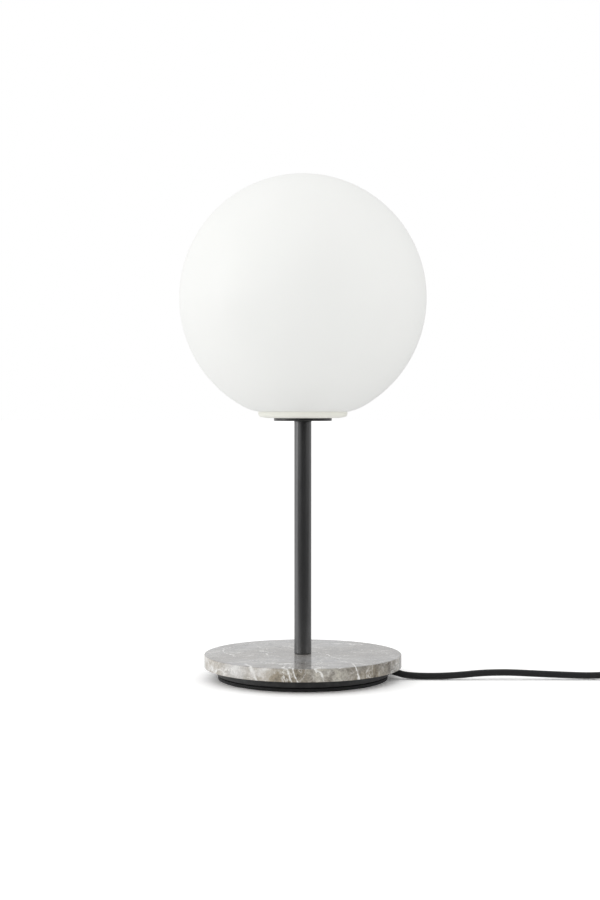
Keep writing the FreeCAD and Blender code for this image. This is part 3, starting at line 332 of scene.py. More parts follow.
def put_on(piece, body, slot, *nodes, material=None):
    """Give a piece its body, its slot with its finish or another, and the nodes it stands for."""
    dress(piece, material or finishes[slot])
    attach(piece, body)
    if nodes:
        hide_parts(*nodes)


# ---------------------------------------------------------------- node helpers


def fill(tree, sockets, values):
    """Link each named socket to the socket that is given for it, or set it to the value."""
    for name, value in values.items():
        if isinstance(value, bpy.types.NodeSocket):
            tree.links.new(value, sockets[name])
        else:
            sockets[name].default_value = value


def add_node(tree, kind, values=None, **settings):
    node = tree.nodes.new(kind)
    for name, value in settings.items():
        setattr(node, name, value)
    fill(tree, node.inputs, values or {})
    return node


def calc(tree, operation, *values):
    return add_node(tree, "ShaderNodeMath", dict(enumerate(values)), operation=operation).outputs[0]


def combine(tree, operation, first, *others):
    """The operation carried on from the first value over all the others."""
    for value in others:
        first = calc(tree, operation, first, value)
    return first


def vector_calc(tree, operation, *values, output="Vector"):
    values = dict(enumerate(values))
    return add_node(tree, "ShaderNodeVectorMath", values, operation=operation).outputs[output]


def scaled(tree, vector, share):
    """A vector or a colour times a value."""
    values = {0: vector, "Scale": share}
    return add_node(tree, "ShaderNodeVectorMath", values, operation="SCALE").outputs[0]


def parts_of(tree, vector):
    """The X, Y and Z of a vector."""
    return add_node(tree, "ShaderNodeSeparateXYZ", {"Vector": vector}).outputs


def remap(tree, value, low, high, new_low=0.0, new_high=1.0):
    ends = {"From Min": low, "From Max": high, "To Min": new_low, "To Max": new_high}
    return add_node(tree, "ShaderNodeMapRange", {"Value": value, **ends}).outputs["Result"]


def mix_values(tree, share, one, other):
    """The first value where the share is 0, the other where it is 1."""
    kept = calc(tree, "SUBTRACT", 1.0, share)
    left, right = calc(tree, "MULTIPLY", kept, one), calc(tree, "MULTIPLY", share, other)
    return calc(tree, "ADD", left, right)


def opaque(colour):
    """A colour socket as it is, or three values with a full alpha after them."""
    return colour if isinstance(colour, bpy.types.NodeSocket) else (*colour, 1.0)


def blend_colours(tree, share, one, other):
    """The first colour where the share is 0, the other where it is 1."""
    mix = add_node(tree, "ShaderNodeMix", data_type="RGBA")
    sockets = {socket.identifier: socket for socket in mix.inputs}
    fill(tree, sockets, {"Factor_Float": share, "A_Color": opaque(one), "B_Color": opaque(other)})
    return next(socket for socket in mix.outputs if socket.identifier == "Result_Color")


def noise(tree, vector, scale, detail=2.0, roughness=0.5, output="Fac"):
    values = {"Vector": vector, "Scale": scale, "Detail": detail, "Roughness": roughness}
    return add_node(tree, "ShaderNodeTexNoise", values).outputs[output]


def bent(tree, vector, scale, amount):
    """The place moved by a soft noise, so that what is drawn on it wanders."""
    colour = noise(tree, vector, scale, 4.0, output="Color")
    centred = vector_calc(tree, "SUBTRACT", colour, (0.5, 0.5, 0.5))
    return vector_calc(tree, "ADD", vector, scaled(tree, centred, amount))


def bumped(tree, strength, depth, height):
    values = {"Strength": strength, "Distance": depth, "Height": height}
    return add_node(tree, "ShaderNodeBump", values).outputs["Normal"]


def seen_as(tree, diffuse, glossy, camera):
    """One value for diffuse rays, one for reflections, and one for the camera and clear glass."""
    rays = add_node(tree, "ShaderNodeLightPath").outputs
    direct = calc(tree, "MAXIMUM", rays["Is Camera Ray"], rays["Is Transmission Ray"])
    rest = mix_values(tree, rays["Is Glossy Ray"], diffuse, glossy)
    return mix_values(tree, direct, rest, camera)


def towards_camera(tree, vector):
    """How far a place or a direction goes towards the camera, a little to its right."""
    return vector_calc(tree, "DOT_PRODUCT", vector, (0.14, -0.99, 0.0), output="Value")


# ---------------------------------------------------------------- node groups


def new_group(name, inputs, outputs):
    """An empty node group, with a Vector and the given inputs, floats or vectors as their defaults.

    Its outputs are floats, but for a Normal.
    """
    group = bpy.data.node_groups.new(name, "ShaderNodeTree")
    for label, default in {"Vector": (0.0, 0.0, 0.0), **inputs}.items():
        kind = "NodeSocketFloat" if isinstance(default, float) else "NodeSocketVector"
        group.interface.new_socket(label, in_out="INPUT", socket_type=kind).default_value = default
    for label in outputs:
        kind = "NodeSocketVector" if label == "Normal" else "NodeSocketFloat"
        group.interface.new_socket(label, in_out="OUTPUT", socket_type=kind)
    entry = group.nodes.new("NodeGroupInput")
    leaving = group.nodes.new("NodeGroupOutput")
    return group, entry.outputs, leaving.inputs


def use_group(tree, group, *values):
    """The group's outputs, its inputs linked or set in their own order, from the Vector on."""
    return add_node(tree, "ShaderNodeGroup", dict(enumerate(values)), node_tree=group).outputs


@cache
def grain_group():
    """Fine grain: noise that varies the shade and the gloss, and a bump of the same noise."""
    inputs = {
        "Scale": 400.0,
        "Shade spread": 0.08,
        "Gloss": 0.5,
        "Gloss spread": 0.08,
        "Relief": 0.1,
        "Depth": 0.1 * MM,
    }
    group, entry, leaving = new_group("fine grain", inputs, ("Shade", "Roughness", "Normal"))
    fine = noise(group, entry["Vector"], entry["Scale"], 3.0, 0.6)
    broad = noise(group, entry["Vector"], calc(group, "MULTIPLY", entry["Scale"], 0.06), 4.0, 0.55)
    mixed = calc(group, "SUBTRACT", calc(group, "ADD", fine, broad), 1.0)
    off_centre = calc(group, "SUBTRACT", broad, 0.5)
    shade = calc(group, "MULTIPLY_ADD", mixed, entry["Shade spread"], 1.0)
    gloss = calc(group, "MULTIPLY_ADD", off_centre, entry["Gloss spread"], entry["Gloss"])
    normal = bumped(group, entry["Relief"], entry["Depth"], fine)
    fill(group, leaving, {"Shade": shade, "Roughness": gloss, "Normal": normal})
    return group


@cache
def wear_group():
    """Worn edges: where the surface bends outwards, broken up by noise."""
    group, entry, leaving = new_group("worn edges", {"Amount": 0.5, "Scale": 180.0}, ["Mask"])
    bend = add_node(group, "ShaderNodeNewGeometry").outputs["Pointiness"]
    edge = remap(group, bend, 0.52, 0.6)
    spots = noise(group, entry["Vector"], entry["Scale"], 5.0)
    kept = remap(group, spots, 0.45, 0.65)
    fill(group, leaving, {"Mask": combine(group, "MULTIPLY", edge, kept, entry["Amount"])})
    return group


@cache
def dust_group():
    """Dust: thin patches on faces that look up."""
    group, entry, leaving = new_group("settled dust", {"Amount": 0.1, "Scale": 60.0}, ["Mask"])
    normal = add_node(group, "ShaderNodeNewGeometry").outputs["Normal"]
    facing = remap(group, parts_of(group, normal)["Z"], 0.3, 1.0)
    patches = noise(group, entry["Vector"], entry["Scale"], 8.0, 0.7)
    thin = remap(group, patches, 0.4, 0.75)
    fill(group, leaving, {"Mask": combine(group, "MULTIPLY", facing, thin, entry["Amount"])})
    return group


@cache
def vein_group():
    """One vein: near a slanted plane through its centre, bent by noise, and within its reach."""
    inputs = {
        "Centre": (0.0, 0.0, 0.0),
        "Direction": (1.0, 0.0, 0.0),
        "Width": 2 * MM,
        "Wander": 12 * MM,
        "Reach": 20 * MM,
        "Break up": 0.5,
    }
    group, entry, leaving = new_group("stone vein", inputs, ["Mask"])
    moved = bent(group, entry["Vector"], 60.0, entry["Wander"])
    offset = vector_calc(group, "SUBTRACT", moved, entry["Centre"])
    across = vector_calc(group, "DOT_PRODUCT", offset, entry["Direction"], output="Value")
    far = vector_calc(group, "LENGTH", offset, output="Value")
    swell = noise(group, entry["Vector"], 240.0, 5.0, 0.7)
    width = calc(group, "MULTIPLY", entry["Width"], remap(group, swell, 0.35, 0.7, 0.1, 1.3))
    near = calc(group, "DIVIDE", calc(group, "ABSOLUTE", across), width)
    line = remap(group, near, 1.0, 0.2)
    held = remap(group, calc(group, "DIVIDE", far, entry["Reach"]), 1.0, 0.55)
    gaps = remap(group, swell, 0.55, 0.45)
    kept = calc(group, "SUBTRACT", 1.0, calc(group, "MULTIPLY", entry["Break up"], gaps))
    fill(group, leaving, {"Mask": combine(group, "MULTIPLY", line, held, kept)})
    return group


@cache
def contour_group():
    """Wandering hair veins: where a noise is near its middle value, kept in some regions only."""
    inputs = {"Scale": 40.0, "Width": 0.012, "Share": 0.7}
    group, entry, leaving = new_group("contour veins", inputs, ["Mask"])
    field = noise(group, entry["Vector"], entry["Scale"], 5.0, 0.55)
    away = calc(group, "ABSOLUTE", calc(group, "SUBTRACT", field, 0.5))
    line = remap(group, calc(group, "DIVIDE", away, entry["Width"]), 1.0, 0.1)
    region = noise(group, entry["Vector"], calc(group, "MULTIPLY", entry["Scale"], 0.9), 3.0, 0.6)
    kept = remap(group, region, 0.52, 0.66)
    fill(group, leaving, {"Mask": combine(group, "MULTIPLY", line, kept, entry["Share"])})
    return group


@cache
def braid_group():
    """A braid on UV: two sets of strands slant across each other and pass over and under.

    With a = n*u + k*v and b = n*u - k*v, the cell floor(a) + floor(b) is even where the first
    set is below. A strand's height is 1 - (2f - 1)^2 across its own fraction f.
    """
    inputs = {"Strands": 10.0, "Slope": 600.0}
    group, entry, leaving = new_group("braid", inputs, ("Height", "Over", "Thread"))
    place = parts_of(group, entry["Vector"])
    turn = calc(group, "MULTIPLY", place["X"], entry["Strands"])
    rise = calc(group, "MULTIPLY", place["Y"], entry["Slope"])
    ways = [calc(group, "ADD", turn, rise), calc(group, "SUBTRACT", turn, rise)]
    cells = [calc(group, "FLOOR", way) for way in ways]
    over = calc(group, "PINGPONG", calc(group, "ADD", *cells), 1.0)
    under = calc(group, "SUBTRACT", 1.0, over)
    crowns = []
    for way in ways:
        off = calc(group, "MULTIPLY_ADD", calc(group, "FRACT", way), 2.0, -1.0)
        crowns.append(calc(group, "SUBTRACT", 1.0, calc(group, "MULTIPLY", off, off)))
    first = calc(group, "MULTIPLY", crowns[0], calc(group, "POWER", crowns[1], 0.35))
    second = calc(group, "MULTIPLY", crowns[1], calc(group, "POWER", crowns[0], 0.35))
    threads = [calc(group, "SINE", calc(group, "MULTIPLY", way, 25.0)) for way in ways]
    shown = {"Over": over}
    for label, upper, lower in (("Height", first, second), ("Thread", *threads)):
        upper = calc(group, "MULTIPLY", over, upper)
        shown[label] = calc(group, "ADD", upper, calc(group, "MULTIPLY", under, lower))
    fill(group, leaving, shown)
    return group


# ---------------------------------------------------------------- finishes


def new_finish(name, **settings):
    """A material, its tree, its shader and the place on the piece; settings are plain sockets."""
    material = bpy.data.materials.new(name)
    material.use_nodes = True
    tree = material.node_tree
    shader = tree.nodes["Principled BSDF"]
    for label, value in settings.items():
        shader.inputs[label.replace("_", " ")].default_value = value
    here = add_node(tree, "ShaderNodeTexCoord").outputs["Object"]
    return material, tree, shader, here


def show(tree, shader, colour, roughness, normal):
    """Link what varies over the surface to the shader."""
    fill(tree, shader.inputs, {"Base Color": colour, "Roughness": roughness, "Normal": normal})


def grained(
    name,
    colour,
    gloss,
    scale=500.0,
    spread=0.1,
    gloss_spread=0.1,
    relief=0.1,
    depth=0.1 * MM,
    worn=None,
    dusty=None,
    **settings,
):
    """A finish of one colour with grain; worn and dusty are an amount and its colour."""
    material, tree, shader, here = new_finish(name, **settings)
    values = (scale, spread, gloss, gloss_spread, relief, depth)
    grain = use_group(tree, grain_group(), here, *values)
    shown = scaled(tree, colour, grain["Shade"])
    for cover, group in ((worn, wear_group), (dusty, dust_group)):
        if cover:
            amount, cover_colour = cover
            mask = use_group(tree, group(), here, amount)["Mask"]
            shown = blend_colours(tree, mask, shown, cover_colour)
    show(tree, shader, shown, grain["Roughness"], grain["Normal"])
    return material


def brushed(name, colour, gloss, stretch):
    """A metal with fine lines: noise that is long one way and short the other."""
    material, tree, shader, here = new_finish(name, Metallic=1.0)
    turned = add_node(tree, "ShaderNodeMapping", {"Vector": here, "Scale": stretch})
    lines = noise(tree, turned.outputs["Vector"], 300.0, 6.0)
    shown = scaled(tree, colour, remap(tree, lines, 0.3, 0.7, 0.86, 1.08))
    rough = remap(tree, lines, 0.3, 0.7, gloss - 0.07, gloss + 0.07)
    show(tree, shader, shown, rough, bumped(tree, 0.15, 0.05 * MM, lines))
    return material


def opal_finish(colours):
    """Satin opal glass: white through and through, etched outside, with a soft sheen."""
    material, tree, shader, here = new_finish("opal_glass", IOR=1.5)
    values = (900.0, 0.012, 0.42, 0.06, 0.05, 0.03 * MM)
    grain = use_group(tree, grain_group(), here, *values)
    clouds = remap(tree, noise(tree, here, 9.0), 0.3, 0.7, 0.99, 1.008)
    shown = scaled(tree, colours.opal, calc(tree, "MULTIPLY", grain["Shade"], clouds))
    show(tree, shader, shown, grain["Roughness"], grain["Normal"])
    return material


# Scale, width and share of the hair veins, from the broadest to the finest.
HAIR_VEINS = ((26.0, 0.012, 0.85), (58.0, 0.018, 0.8), (130.0, 0.028, 0.6))
PLACED_VEINS = (
    # centre and direction across the vein; width, wander and reach in metres; how broken it is
    ((-0.038, -0.071, 0.015), (0.84, 0.1, 0.53), 2.2 * MM, 0.012, 0.022, 0.3),
    ((-0.068, -0.043, 0.015), (0.8, 0.4, 0.42), 1.2 * MM, 0.01, 0.018, 0.5),
    ((-0.057, -0.056, 0.014), (0.7, 0.5, 0.7), 2.4 * MM, 0.02, 0.016, 0.6),
    ((-0.011, -0.079, 0.014), (0.9, 0.05, 0.42), 1.8 * MM, 0.012, 0.02, 0.25),
    ((-0.006, -0.08, 0.014), (0.84, 0.0, 0.54), 1.2 * MM, 0.014, 0.02, 0.45),
    ((0.014, -0.079, 0.014), (0.9, 0.0, 0.43), 0.9 * MM, 0.014, 0.016, 0.5),
    ((0.042, -0.068, 0.014), (0.93, 0.1, 0.3), 1.3 * MM, 0.012, 0.02, 0.4),
    ((-0.018, -0.055, 0.02), (0.3, 0.95, 0.0), 6.0 * MM, 0.03, 0.014, 0.7),
    ((-0.03, 0.012, 0.02), (0.95, 0.2, 0.0), 2.0 * MM, 0.04, 0.034, 0.5),
    ((0.02, -0.009, 0.02), (0.86, 0.5, 0.0), 1.3 * MM, 0.02, 0.03, 0.6),
    ((0.037, 0.05, 0.02), (0.3, 0.95, 0.0), 2.6 * MM, 0.03, 0.02, 0.6),
    ((-0.064, 0.006, 0.02), (0.93, 0.3, 0.0), 2.0 * MM, 0.03, 0.03, 0.6),
    ((0.041, -0.05, 0.02), (0.5, 0.86, 0.0), 1.6 * MM, 0.02, 0.02, 0.6),
)


def stone_ground(tree, colours, here, leaning, crumbs):
    """The marble's clouds, crumbs and rusty spots, by the place on the disc.

    The rim is as sawn, and paler at the left. Painted light makes the disc lighter at the left
    and darker at the right. The top is polished, and evens out to grey: a painted reflection of the
    room.
    """
    place = parts_of(tree, here)
    top = MARBLE_HIGH.z
    rim = remap(tree, place["Z"], top - 0.4 * MM, top - 0.05 * MM, 1.0, 0.0)
    border = calc(tree, "MULTIPLY_ADD", noise(tree, here, 45.0, 4.0, 0.6), 0.03, place["X"])
    pale = calc(tree, "MULTIPLY", rim, remap(tree, border, 0.005, -0.012))

    coolness = calc(tree, "MULTIPLY_ADD", place["X"], -1.6, noise(tree, here, 16.0, 3.0))
    cool = remap(tree, coolness, 0.45, 0.62)
    ground = blend_colours(tree, cool, colours.stone, colours.stone_cool)

    clouds = calc(tree, "MULTIPLY", noise(tree, leaning, 100.0, 10.0, 0.7), 0.6)
    mottle = calc(tree, "MULTIPLY_ADD", noise(tree, leaning, 34.0, 4.0, 0.55), 0.4, clouds)
    even = calc(tree, "MULTIPLY_ADD", mottle, 0.5, 0.295)
    mottle = mix_values(tree, pale, mottle, even)
    dark = remap(tree, mottle, 0.49, 0.4)
    ground = blend_colours(tree, dark, ground, colours.stone_dark)
    light = blend_colours(tree, pale, colours.stone_light, colours.stone_pale)
    ground = blend_colours(tree, remap(tree, mottle, 0.51, 0.6, 0.0, 0.95), ground, light)

    coarse = remap(tree, crumbs, 0.3, 0.7, 0.6, 1.4)
    fine = remap(tree, crumbs, 0.3, 0.7, 0.8, 1.2)
    speckle = mix_values(tree, pale, coarse, fine)
    # Painted light from the left: the stone is lighter at -X and darker at +X, and lighter still on
    # the rim's pale left.
    level = remap(tree, place["X"], -0.08, 0.08, 1.15, 0.8)
    level = calc(tree, "MULTIPLY_ADD", pale, 0.3, level)
    ground = scaled(tree, ground, calc(tree, "MULTIPLY", speckle, level))

    spots = remap(tree, noise(tree, leaning, 90.0, 4.0, 0.6), 0.63, 0.72, 0.0, 0.5)
    warm = remap(tree, coolness, 0.5, 0.42)
    ground = blend_colours(tree, calc(tree, "MULTIPLY", spots, warm), ground, colours.rust)
    # Painted reflection: the top is blended towards an even cool grey, as the white room looks in
    # its polish.
    painted_reflection_share = remap(tree, rim, 0.0, 1.0, 0.55, 0.0)
    return blend_colours(tree, painted_reflection_share, ground, colours.stone_painted_reflection)


def stone_veins(tree, here, leaning):
    """Where the marble is veined: hair veins of three scales, and the veins with a place."""
    masks = [use_group(tree, contour_group(), leaning, *hair)["Mask"] for hair in HAIR_VEINS]
    masks += [use_group(tree, vein_group(), here, *vein)["Mask"] for vein in PLACED_VEINS]
    return combine(tree, "MAXIMUM", *masks)


def marble_finish(colours):
    """Polished grey marble: warm and cool clouds, a crumbled grain and white veins."""
    material, tree, shader, here = new_finish("grey_marble", IOR=1.45)
    leaning = bent(tree, here, 24.0, 0.013)
    crumbs = noise(tree, here, 650.0, 5.0, 0.75)
    ground = stone_ground(tree, colours, here, leaning, crumbs)
    shown = blend_colours(tree, stone_veins(tree, here, leaning), ground, colours.vein)
    rough = remap(tree, crumbs, 0.3, 0.7, 0.07, 0.13)
    show(tree, shader, shown, rough, bumped(tree, 0.04, 0.05 * MM, crumbs))
    return material


def woven_finish(name, colour, strands, slope):
    """Braided yarn on the piece's own UV, with a faint sheen and fuzz, and painted shade down
    between the strands.
    """
    sheen = dict(Sheen_Weight=0.25, Sheen_Roughness=0.4, Specular_IOR_Level=0.3)
    material, tree, shader, here = new_finish(name, **sheen)
    uv = add_node(tree, "ShaderNodeUVMap", uv_map="UVMap").outputs["UV"]
    braid = use_group(tree, braid_group(), uv, strands, slope)
    fuzz = noise(tree, here, 2600.0, 3.0)
    # Painted shade: each strand is darker down in the grooves and lighter on its crown.
    painted_strand_shading = remap(tree, braid["Height"], 0.0, 1.0, 0.45, 1.25)
    fluff = remap(tree, fuzz, 0.3, 0.7, 0.75, 1.3)
    strand = remap(tree, braid["Over"], 0.0, 1.0, 0.9, 1.1)
    shown = scaled(tree, colour, combine(tree, "MULTIPLY", painted_strand_shading, fluff, strand))
    rough = remap(tree, fuzz, 0.3, 0.7, 0.68, 0.85)
    high = calc(tree, "MULTIPLY_ADD", braid["Thread"], 0.08, braid["Height"])
    show(tree, shader, shown, rough, bumped(tree, 0.7, 0.25 * MM, high))
    return material


def board_finish(name, lacquer, track_colour):
    """A circuit board: lacquer over straight tracks of copper."""
    material, tree, shader, here = new_finish(name, Coat_Weight=0.3, Coat_Roughness=0.15)
    values = {"Vector": here, "Scale": 230.0, "Randomness": 0.35}
    layout = dict(feature="F1", distance="MANHATTAN")
    cells = add_node(tree, "ShaderNodeTexVoronoi", values, **layout).outputs["Distance"]
    track = remap(tree, cells, 0.2, 0.24, 1.0, 0.0)
    shown = blend_colours(tree, track, lacquer, track_colour)
    rough = remap(tree, noise(tree, here, 700.0), 0.3, 0.7, 0.3, 0.42)
    show(tree, shader, shown, rough, bumped(tree, 0.3, 0.05 * MM, track))
    return material


def make_finishes(colours):
    """A material for each of the record's slots, and the darker one of the holder's cup."""
    made = {
        "opal_glass": opal_finish(colours),
        "grey_marble": marble_finish(colours),
        "cord_textile": woven_finish("cord_textile", colours.textile, 10.0, 590.0),
        "board_laminate": board_finish("board_laminate", (0.02, 0.13, 0.045), (0.05, 0.25, 0.08)),
    }
    satin = dict(scale=1400.0, gloss_spread=0.08, relief=0.12, depth=0.04 * MM)
    dusty = (0.06, colours.dust)
    moulded = dict(scale=1600.0, spread=0.12, relief=0.25, depth=0.06 * MM, dusty=dusty)
    painted = dict(worn=(0.35, colours.worn), dusty=(0.04, colours.dust), **satin)
    rubbery = dict(scale=900.0, relief=0.3, dusty=(0.05, colours.dust))
    soft = dict(Subsurface_Weight=0.2, Subsurface_Radius=(2 * MM,) * 3, Subsurface_Scale=1.0)
    plain = {
        "stem_metal": (colours.charcoal, 0.24, dict(Metallic=0.9, **satin)),
        "cup_metal": (colours.cup_grey, 0.32, dict(Metallic=0.8, **satin)),
        "base_steel": (colours.plate_black, 0.42, painted),
        "foot_rubber": (colours.rubber, 0.66, rubbery),
        "collar_plastic": (colours.collar, 0.42, dict(scale=1200.0, spread=0.02, relief=0.05)),
        "white_silicone": ((0.72, 0.72, 0.7), 0.5, soft),
        "switch_plastic": (colours.case_black, 0.46, moulded),
        "plug_plastic": (colours.case_black, 0.5, moulded),
        "holder_plastic": ((0.02, 0.02, 0.02), 0.3, dict(scale=900.0)),
        "insert_ceramic": ((0.74, 0.71, 0.65), 0.7, dict(scale=700.0, spread=0.06)),
        "driver_plastic": ((0.05, 0.05, 0.055), 0.4, dict(scale=800.0)),
        "chip_phosphor": ((0.85, 0.66, 0.2), 0.4, dict(scale=1500.0, spread=0.12)),
        "wire_white": ((0.75, 0.75, 0.73), 0.45, dict(scale=1500.0)),
        "wire_brown": ((0.16, 0.06, 0.03), 0.45, dict(scale=1500.0)),
        "wire_blue": ((0.03, 0.12, 0.42), 0.45, dict(scale=1500.0)),
    }
    for name, (colour, gloss, settings) in plain.items():
        made[name] = grained(name, colour, gloss, **settings)
    metals = {
        "zinc_steel": ((0.56, 0.57, 0.6), 0.35, (1.0, 1.0, 8.0)),
        "contact_brass": ((0.72, 0.52, 0.22), 0.3, (1.0, 1.0, 12.0)),
        "cap_metal": ((0.66, 0.65, 0.62), 0.24, (1.0, 1.0, 20.0)),
        "pin_metal": ((0.7, 0.69, 0.66), 0.2, (20.0, 1.0, 1.0)),
        "sink_aluminium": ((0.78, 0.78, 0.79), 0.36, (1.0, 1.0, 30.0)),
    }
    for name, values in metals.items():
        made[name] = brushed(name, *values)
    return made


# ---------------------------------------------------------------- cords' routes


# The cord's facts, as the solids have them.
CORD_EXIT_ANGLE = math.radians(-6.0)
PLATE_RIM = 70 * MM
FLOOR_LEVEL = 2.7 * MM
GLAND_LEVEL = 6.5 * MM
AXIS_LEVEL = 7 * MM
SWITCH_ENDS = (280 * MM, 342 * MM)
SWITCH_ROW = -10 * MM
COIL_CENTRE = (412 * MM, 54.7 * MM)
COIL_INNER, COIL_STEP, COIL_LAYER = 21.7 * MM, 6.1 * MM, 6.0 * MM
COIL_IN, COIL_CLIMB, COIL_TURNS = 3.25, 0.5, 6.5
COIL_START_TURN = -0.25
COIL_POINTS_PER_TURN = 16
PLUG_ROW = 94.7 * MM
STRAP_TURN = 0.078  # where the strap crosses the coil, in turns from +X


def leaving(distance, height):
    """A point straight out of the gland, at its distance from the plate's rim."""
    reach = PLATE_RIM + distance
    return (reach * math.cos(CORD_EXIT_ANGLE), reach * math.sin(CORD_EXIT_ANGLE), height)


def run_route():
    """From the gland along the floor to the switch."""
    return np.array(
        [
            leaving(0, GLAND_LEVEL),
            leaving(4.5 * MM, 6.0 * MM),
            leaving(15 * MM, FLOOR_LEVEL),
            (0.116, -0.0112, FLOOR_LEVEL),
            (0.155, -0.0088, 0.0062),
            (0.198, -0.0098, 0.0042),
            (0.241, -0.0106, FLOOR_LEVEL),
            (0.266, SWITCH_ROW, AXIS_LEVEL),
            (SWITCH_ENDS[0], SWITCH_ROW, AXIS_LEVEL),
        ]
    )


def coil_radius(turn):
    """The radius falls to the climb's middle and grows again after it."""
    return COIL_INNER + np.abs(turn - COIL_IN - COIL_CLIMB / 2) * COIL_STEP


def coil_route():
    """Points of the coil: centre + radius (cos a, sin a), with a = 2 pi (start + turn).

    The height rises by one layer in the climb, as (1 - cos) / 2.
    """
    turn = np.linspace(0, COIL_TURNS, round(COIL_TURNS * COIL_POINTS_PER_TURN) + 1)
    radius = coil_radius(turn)
    climbed = np.clip((turn - COIL_IN) / COIL_CLIMB, 0, 1)
    height = FLOOR_LEVEL + COIL_LAYER * (1 - np.cos(math.pi * climbed)) / 2
    angle = 2 * math.pi * (COIL_START_TURN + turn)
    x, y = COIL_CENTRE[0] + radius * np.cos(angle), COIL_CENTRE[1] + radius * np.sin(angle)
    return np.stack([x, y, height], -1)


def stored_route():
    """From the switch into the coil, and from the coil to the plug."""
    top = FLOOR_LEVEL + COIL_LAYER
    link = [
        (SWITCH_ENDS[1], SWITCH_ROW, AXIS_LEVEL),
        (0.3554, SWITCH_ROW, AXIS_LEVEL),
        (0.3932, 0.01165, FLOOR_LEVEL),
        (0.4066, 0.01165, FLOOR_LEVEL),
    ]
    tail = [
        (0.4066, PLUG_ROW, top),
        (0.396, PLUG_ROW, top),
        (0.374, PLUG_ROW, FLOOR_LEVEL),
        (0.3544, PLUG_ROW, AXIS_LEVEL),
        (0.341, PLUG_ROW, AXIS_LEVEL),
    ]
    return np.concatenate([link, coil_route(), tail])


# ---------------------------------------------------------------- operators


class LAMP_OT_camera(bpy.types.Operator):
    """Put the camera where the photograph was taken from"""

    bl_idname = "lamp.camera"
    bl_label = "Camera"

    def execute(self, context):
        studio = context.scene.lamp_studio
        data = bpy.data.cameras.new("camera")
        data.lens = studio.camera_lens
        camera = bpy.data.objects.new("camera", data)
        camera.location = (studio.camera_side, -studio.camera_distance, studio.camera_height)
        camera.rotation_euler = (math.pi / 2 - studio.camera_pitch, 0, 0)
        context.scene.collection.objects.link(camera)
        context.scene.camera = camera
        return {"FINISHED"}


class LAMP_OT_finishes(bpy.types.Operator):
    """Make the materials and give every carried-over solid its own"""

    bl_idname = "lamp.finishes"
    bl_label = "Finishes"

    def execute(self, context):
        finishes.update(make_finishes(context.scene.lamp_colours))
        for part in frame["record"]["subparts"]:
            dress(NODES[part["node"]], finishes[part["material_slot"]])
        dress(NODES["holder_cup"], finishes["cup_metal"])
        return {"FINISHED"}


class LAMP_OT_plug(bpy.types.Operator):
    """Shape the plug's grip and its ribbed strain relief"""

    bl_idname = "lamp.plug"
    bl_label = "Plug"

    def execute(self, context):
        self.shape_grip()
        self.shape_relief()
        return {"FINISHED"}

    @staticmethod
    def shape_grip():
        """Wide at the pins and narrower behind a cosine taper, with grooves where it is held.

        Its stations crowd towards the end at the pins.
        """
        even = np.linspace(0, 1, 90)
        share = np.unique(np.round(np.concatenate([even, 1 - np.sin(even * math.pi / 2)]), 6))
        shoulder, back_half_width, thinner, squareness = 0.22, 7.4 * MM, 1.6 * MM, 3.4
        grooves, groove_depth, held_at, held_reach = 9, 0.45 * MM, 0.62, 0.26
        taper = 0.5 - 0.5 * np.cos(math.pi * np.clip((share - shoulder) / (1 - shoulder), 0, 1))
        held = np.clip(1 - np.abs(share - held_at) / held_reach, 0, 1) ** 0.5
        groove = groove_depth * np.clip(np.sin(2 * math.pi * share * grooves), 0, 1) * held
        half_wide, end_reach = (PLUG_HIGH.y - PLUG_LOW.y) / 2, 0.06
        width = half_wide - (half_wide - back_half_width) * taper - groove
        width = width * rounded_ends(share, end_reach, 0.18)
        height = (PLUG_HIGH.z / 2 - thinner * taper) * rounded_ends(share, end_reach, 0.22)
        stations = PLUG_LOW.x + (PLUG_HIGH.x - PLUG_LOW.x) * share
        origin = (0, PLUG_ROW, AXIS_LEVEL)
        grip = loft("plug_grip", stations, width, height, squareness, 96, origin)
        put_on(grip, "stand", "plug_plastic", "plug_body")

    @staticmethod
    def shape_relief():
        """A round sleeve that tapers along the cord, with five soft grooves."""
        share = np.linspace(0, 1, 160)
        wide, narrower, grooves, groove_depth = 5 * MM, 1.6 * MM, 5, 0.7 * MM
        wave = np.clip(np.sin(2 * math.pi * (share * grooves + 0.1)), 0, 1) ** 0.6
        groove = groove_depth * wave * between(share, 0.08, 0.94, 0.05)
        radius = (wide - narrower * share - groove) * rounded_ends(share, 0.04, 0.1)
        stations = RELIEF_LOW.x + (RELIEF_HIGH.x - RELIEF_LOW.x) * share
        origin = (0, PLUG_ROW, AXIS_LEVEL)
        relief = loft("plug_boot", stations, radius, radius, 2.0, 48, origin)
        put_on(relief, "stand", "plug_plastic", "plug_relief")


class LAMP_OT_pin_sleeves(bpy.types.Operator):
    """Slip the insulating sleeves over the roots of the plug's pins"""

    bl_idname = "lamp.pin_sleeves"
    bl_label = "Pin sleeves"

    def execute(self, context):
        outer, reach, spacing = 2.12 * MM, 10 * MM, 19 * MM
        along = PLUG_LOW.x + np.array([-1.0, -1.0, -0.97, -0.5, 0.02, 0.04]) * reach
        radius = np.array([0.9, 0.97, 1.0, 1.0, 1.0, 1.0]) * outer
        for side, label in ((-1, "near"), (1, "far")):
            origin = (0, PLUG_ROW + side * spacing / 2, AXIS_LEVEL)
            piece = loft(f"pin_sleeve_{label}", along, radius, radius, 2.0, 32, origin)
            put_on(piece, "stand", "plug_plastic")
        return {"FINISHED"}


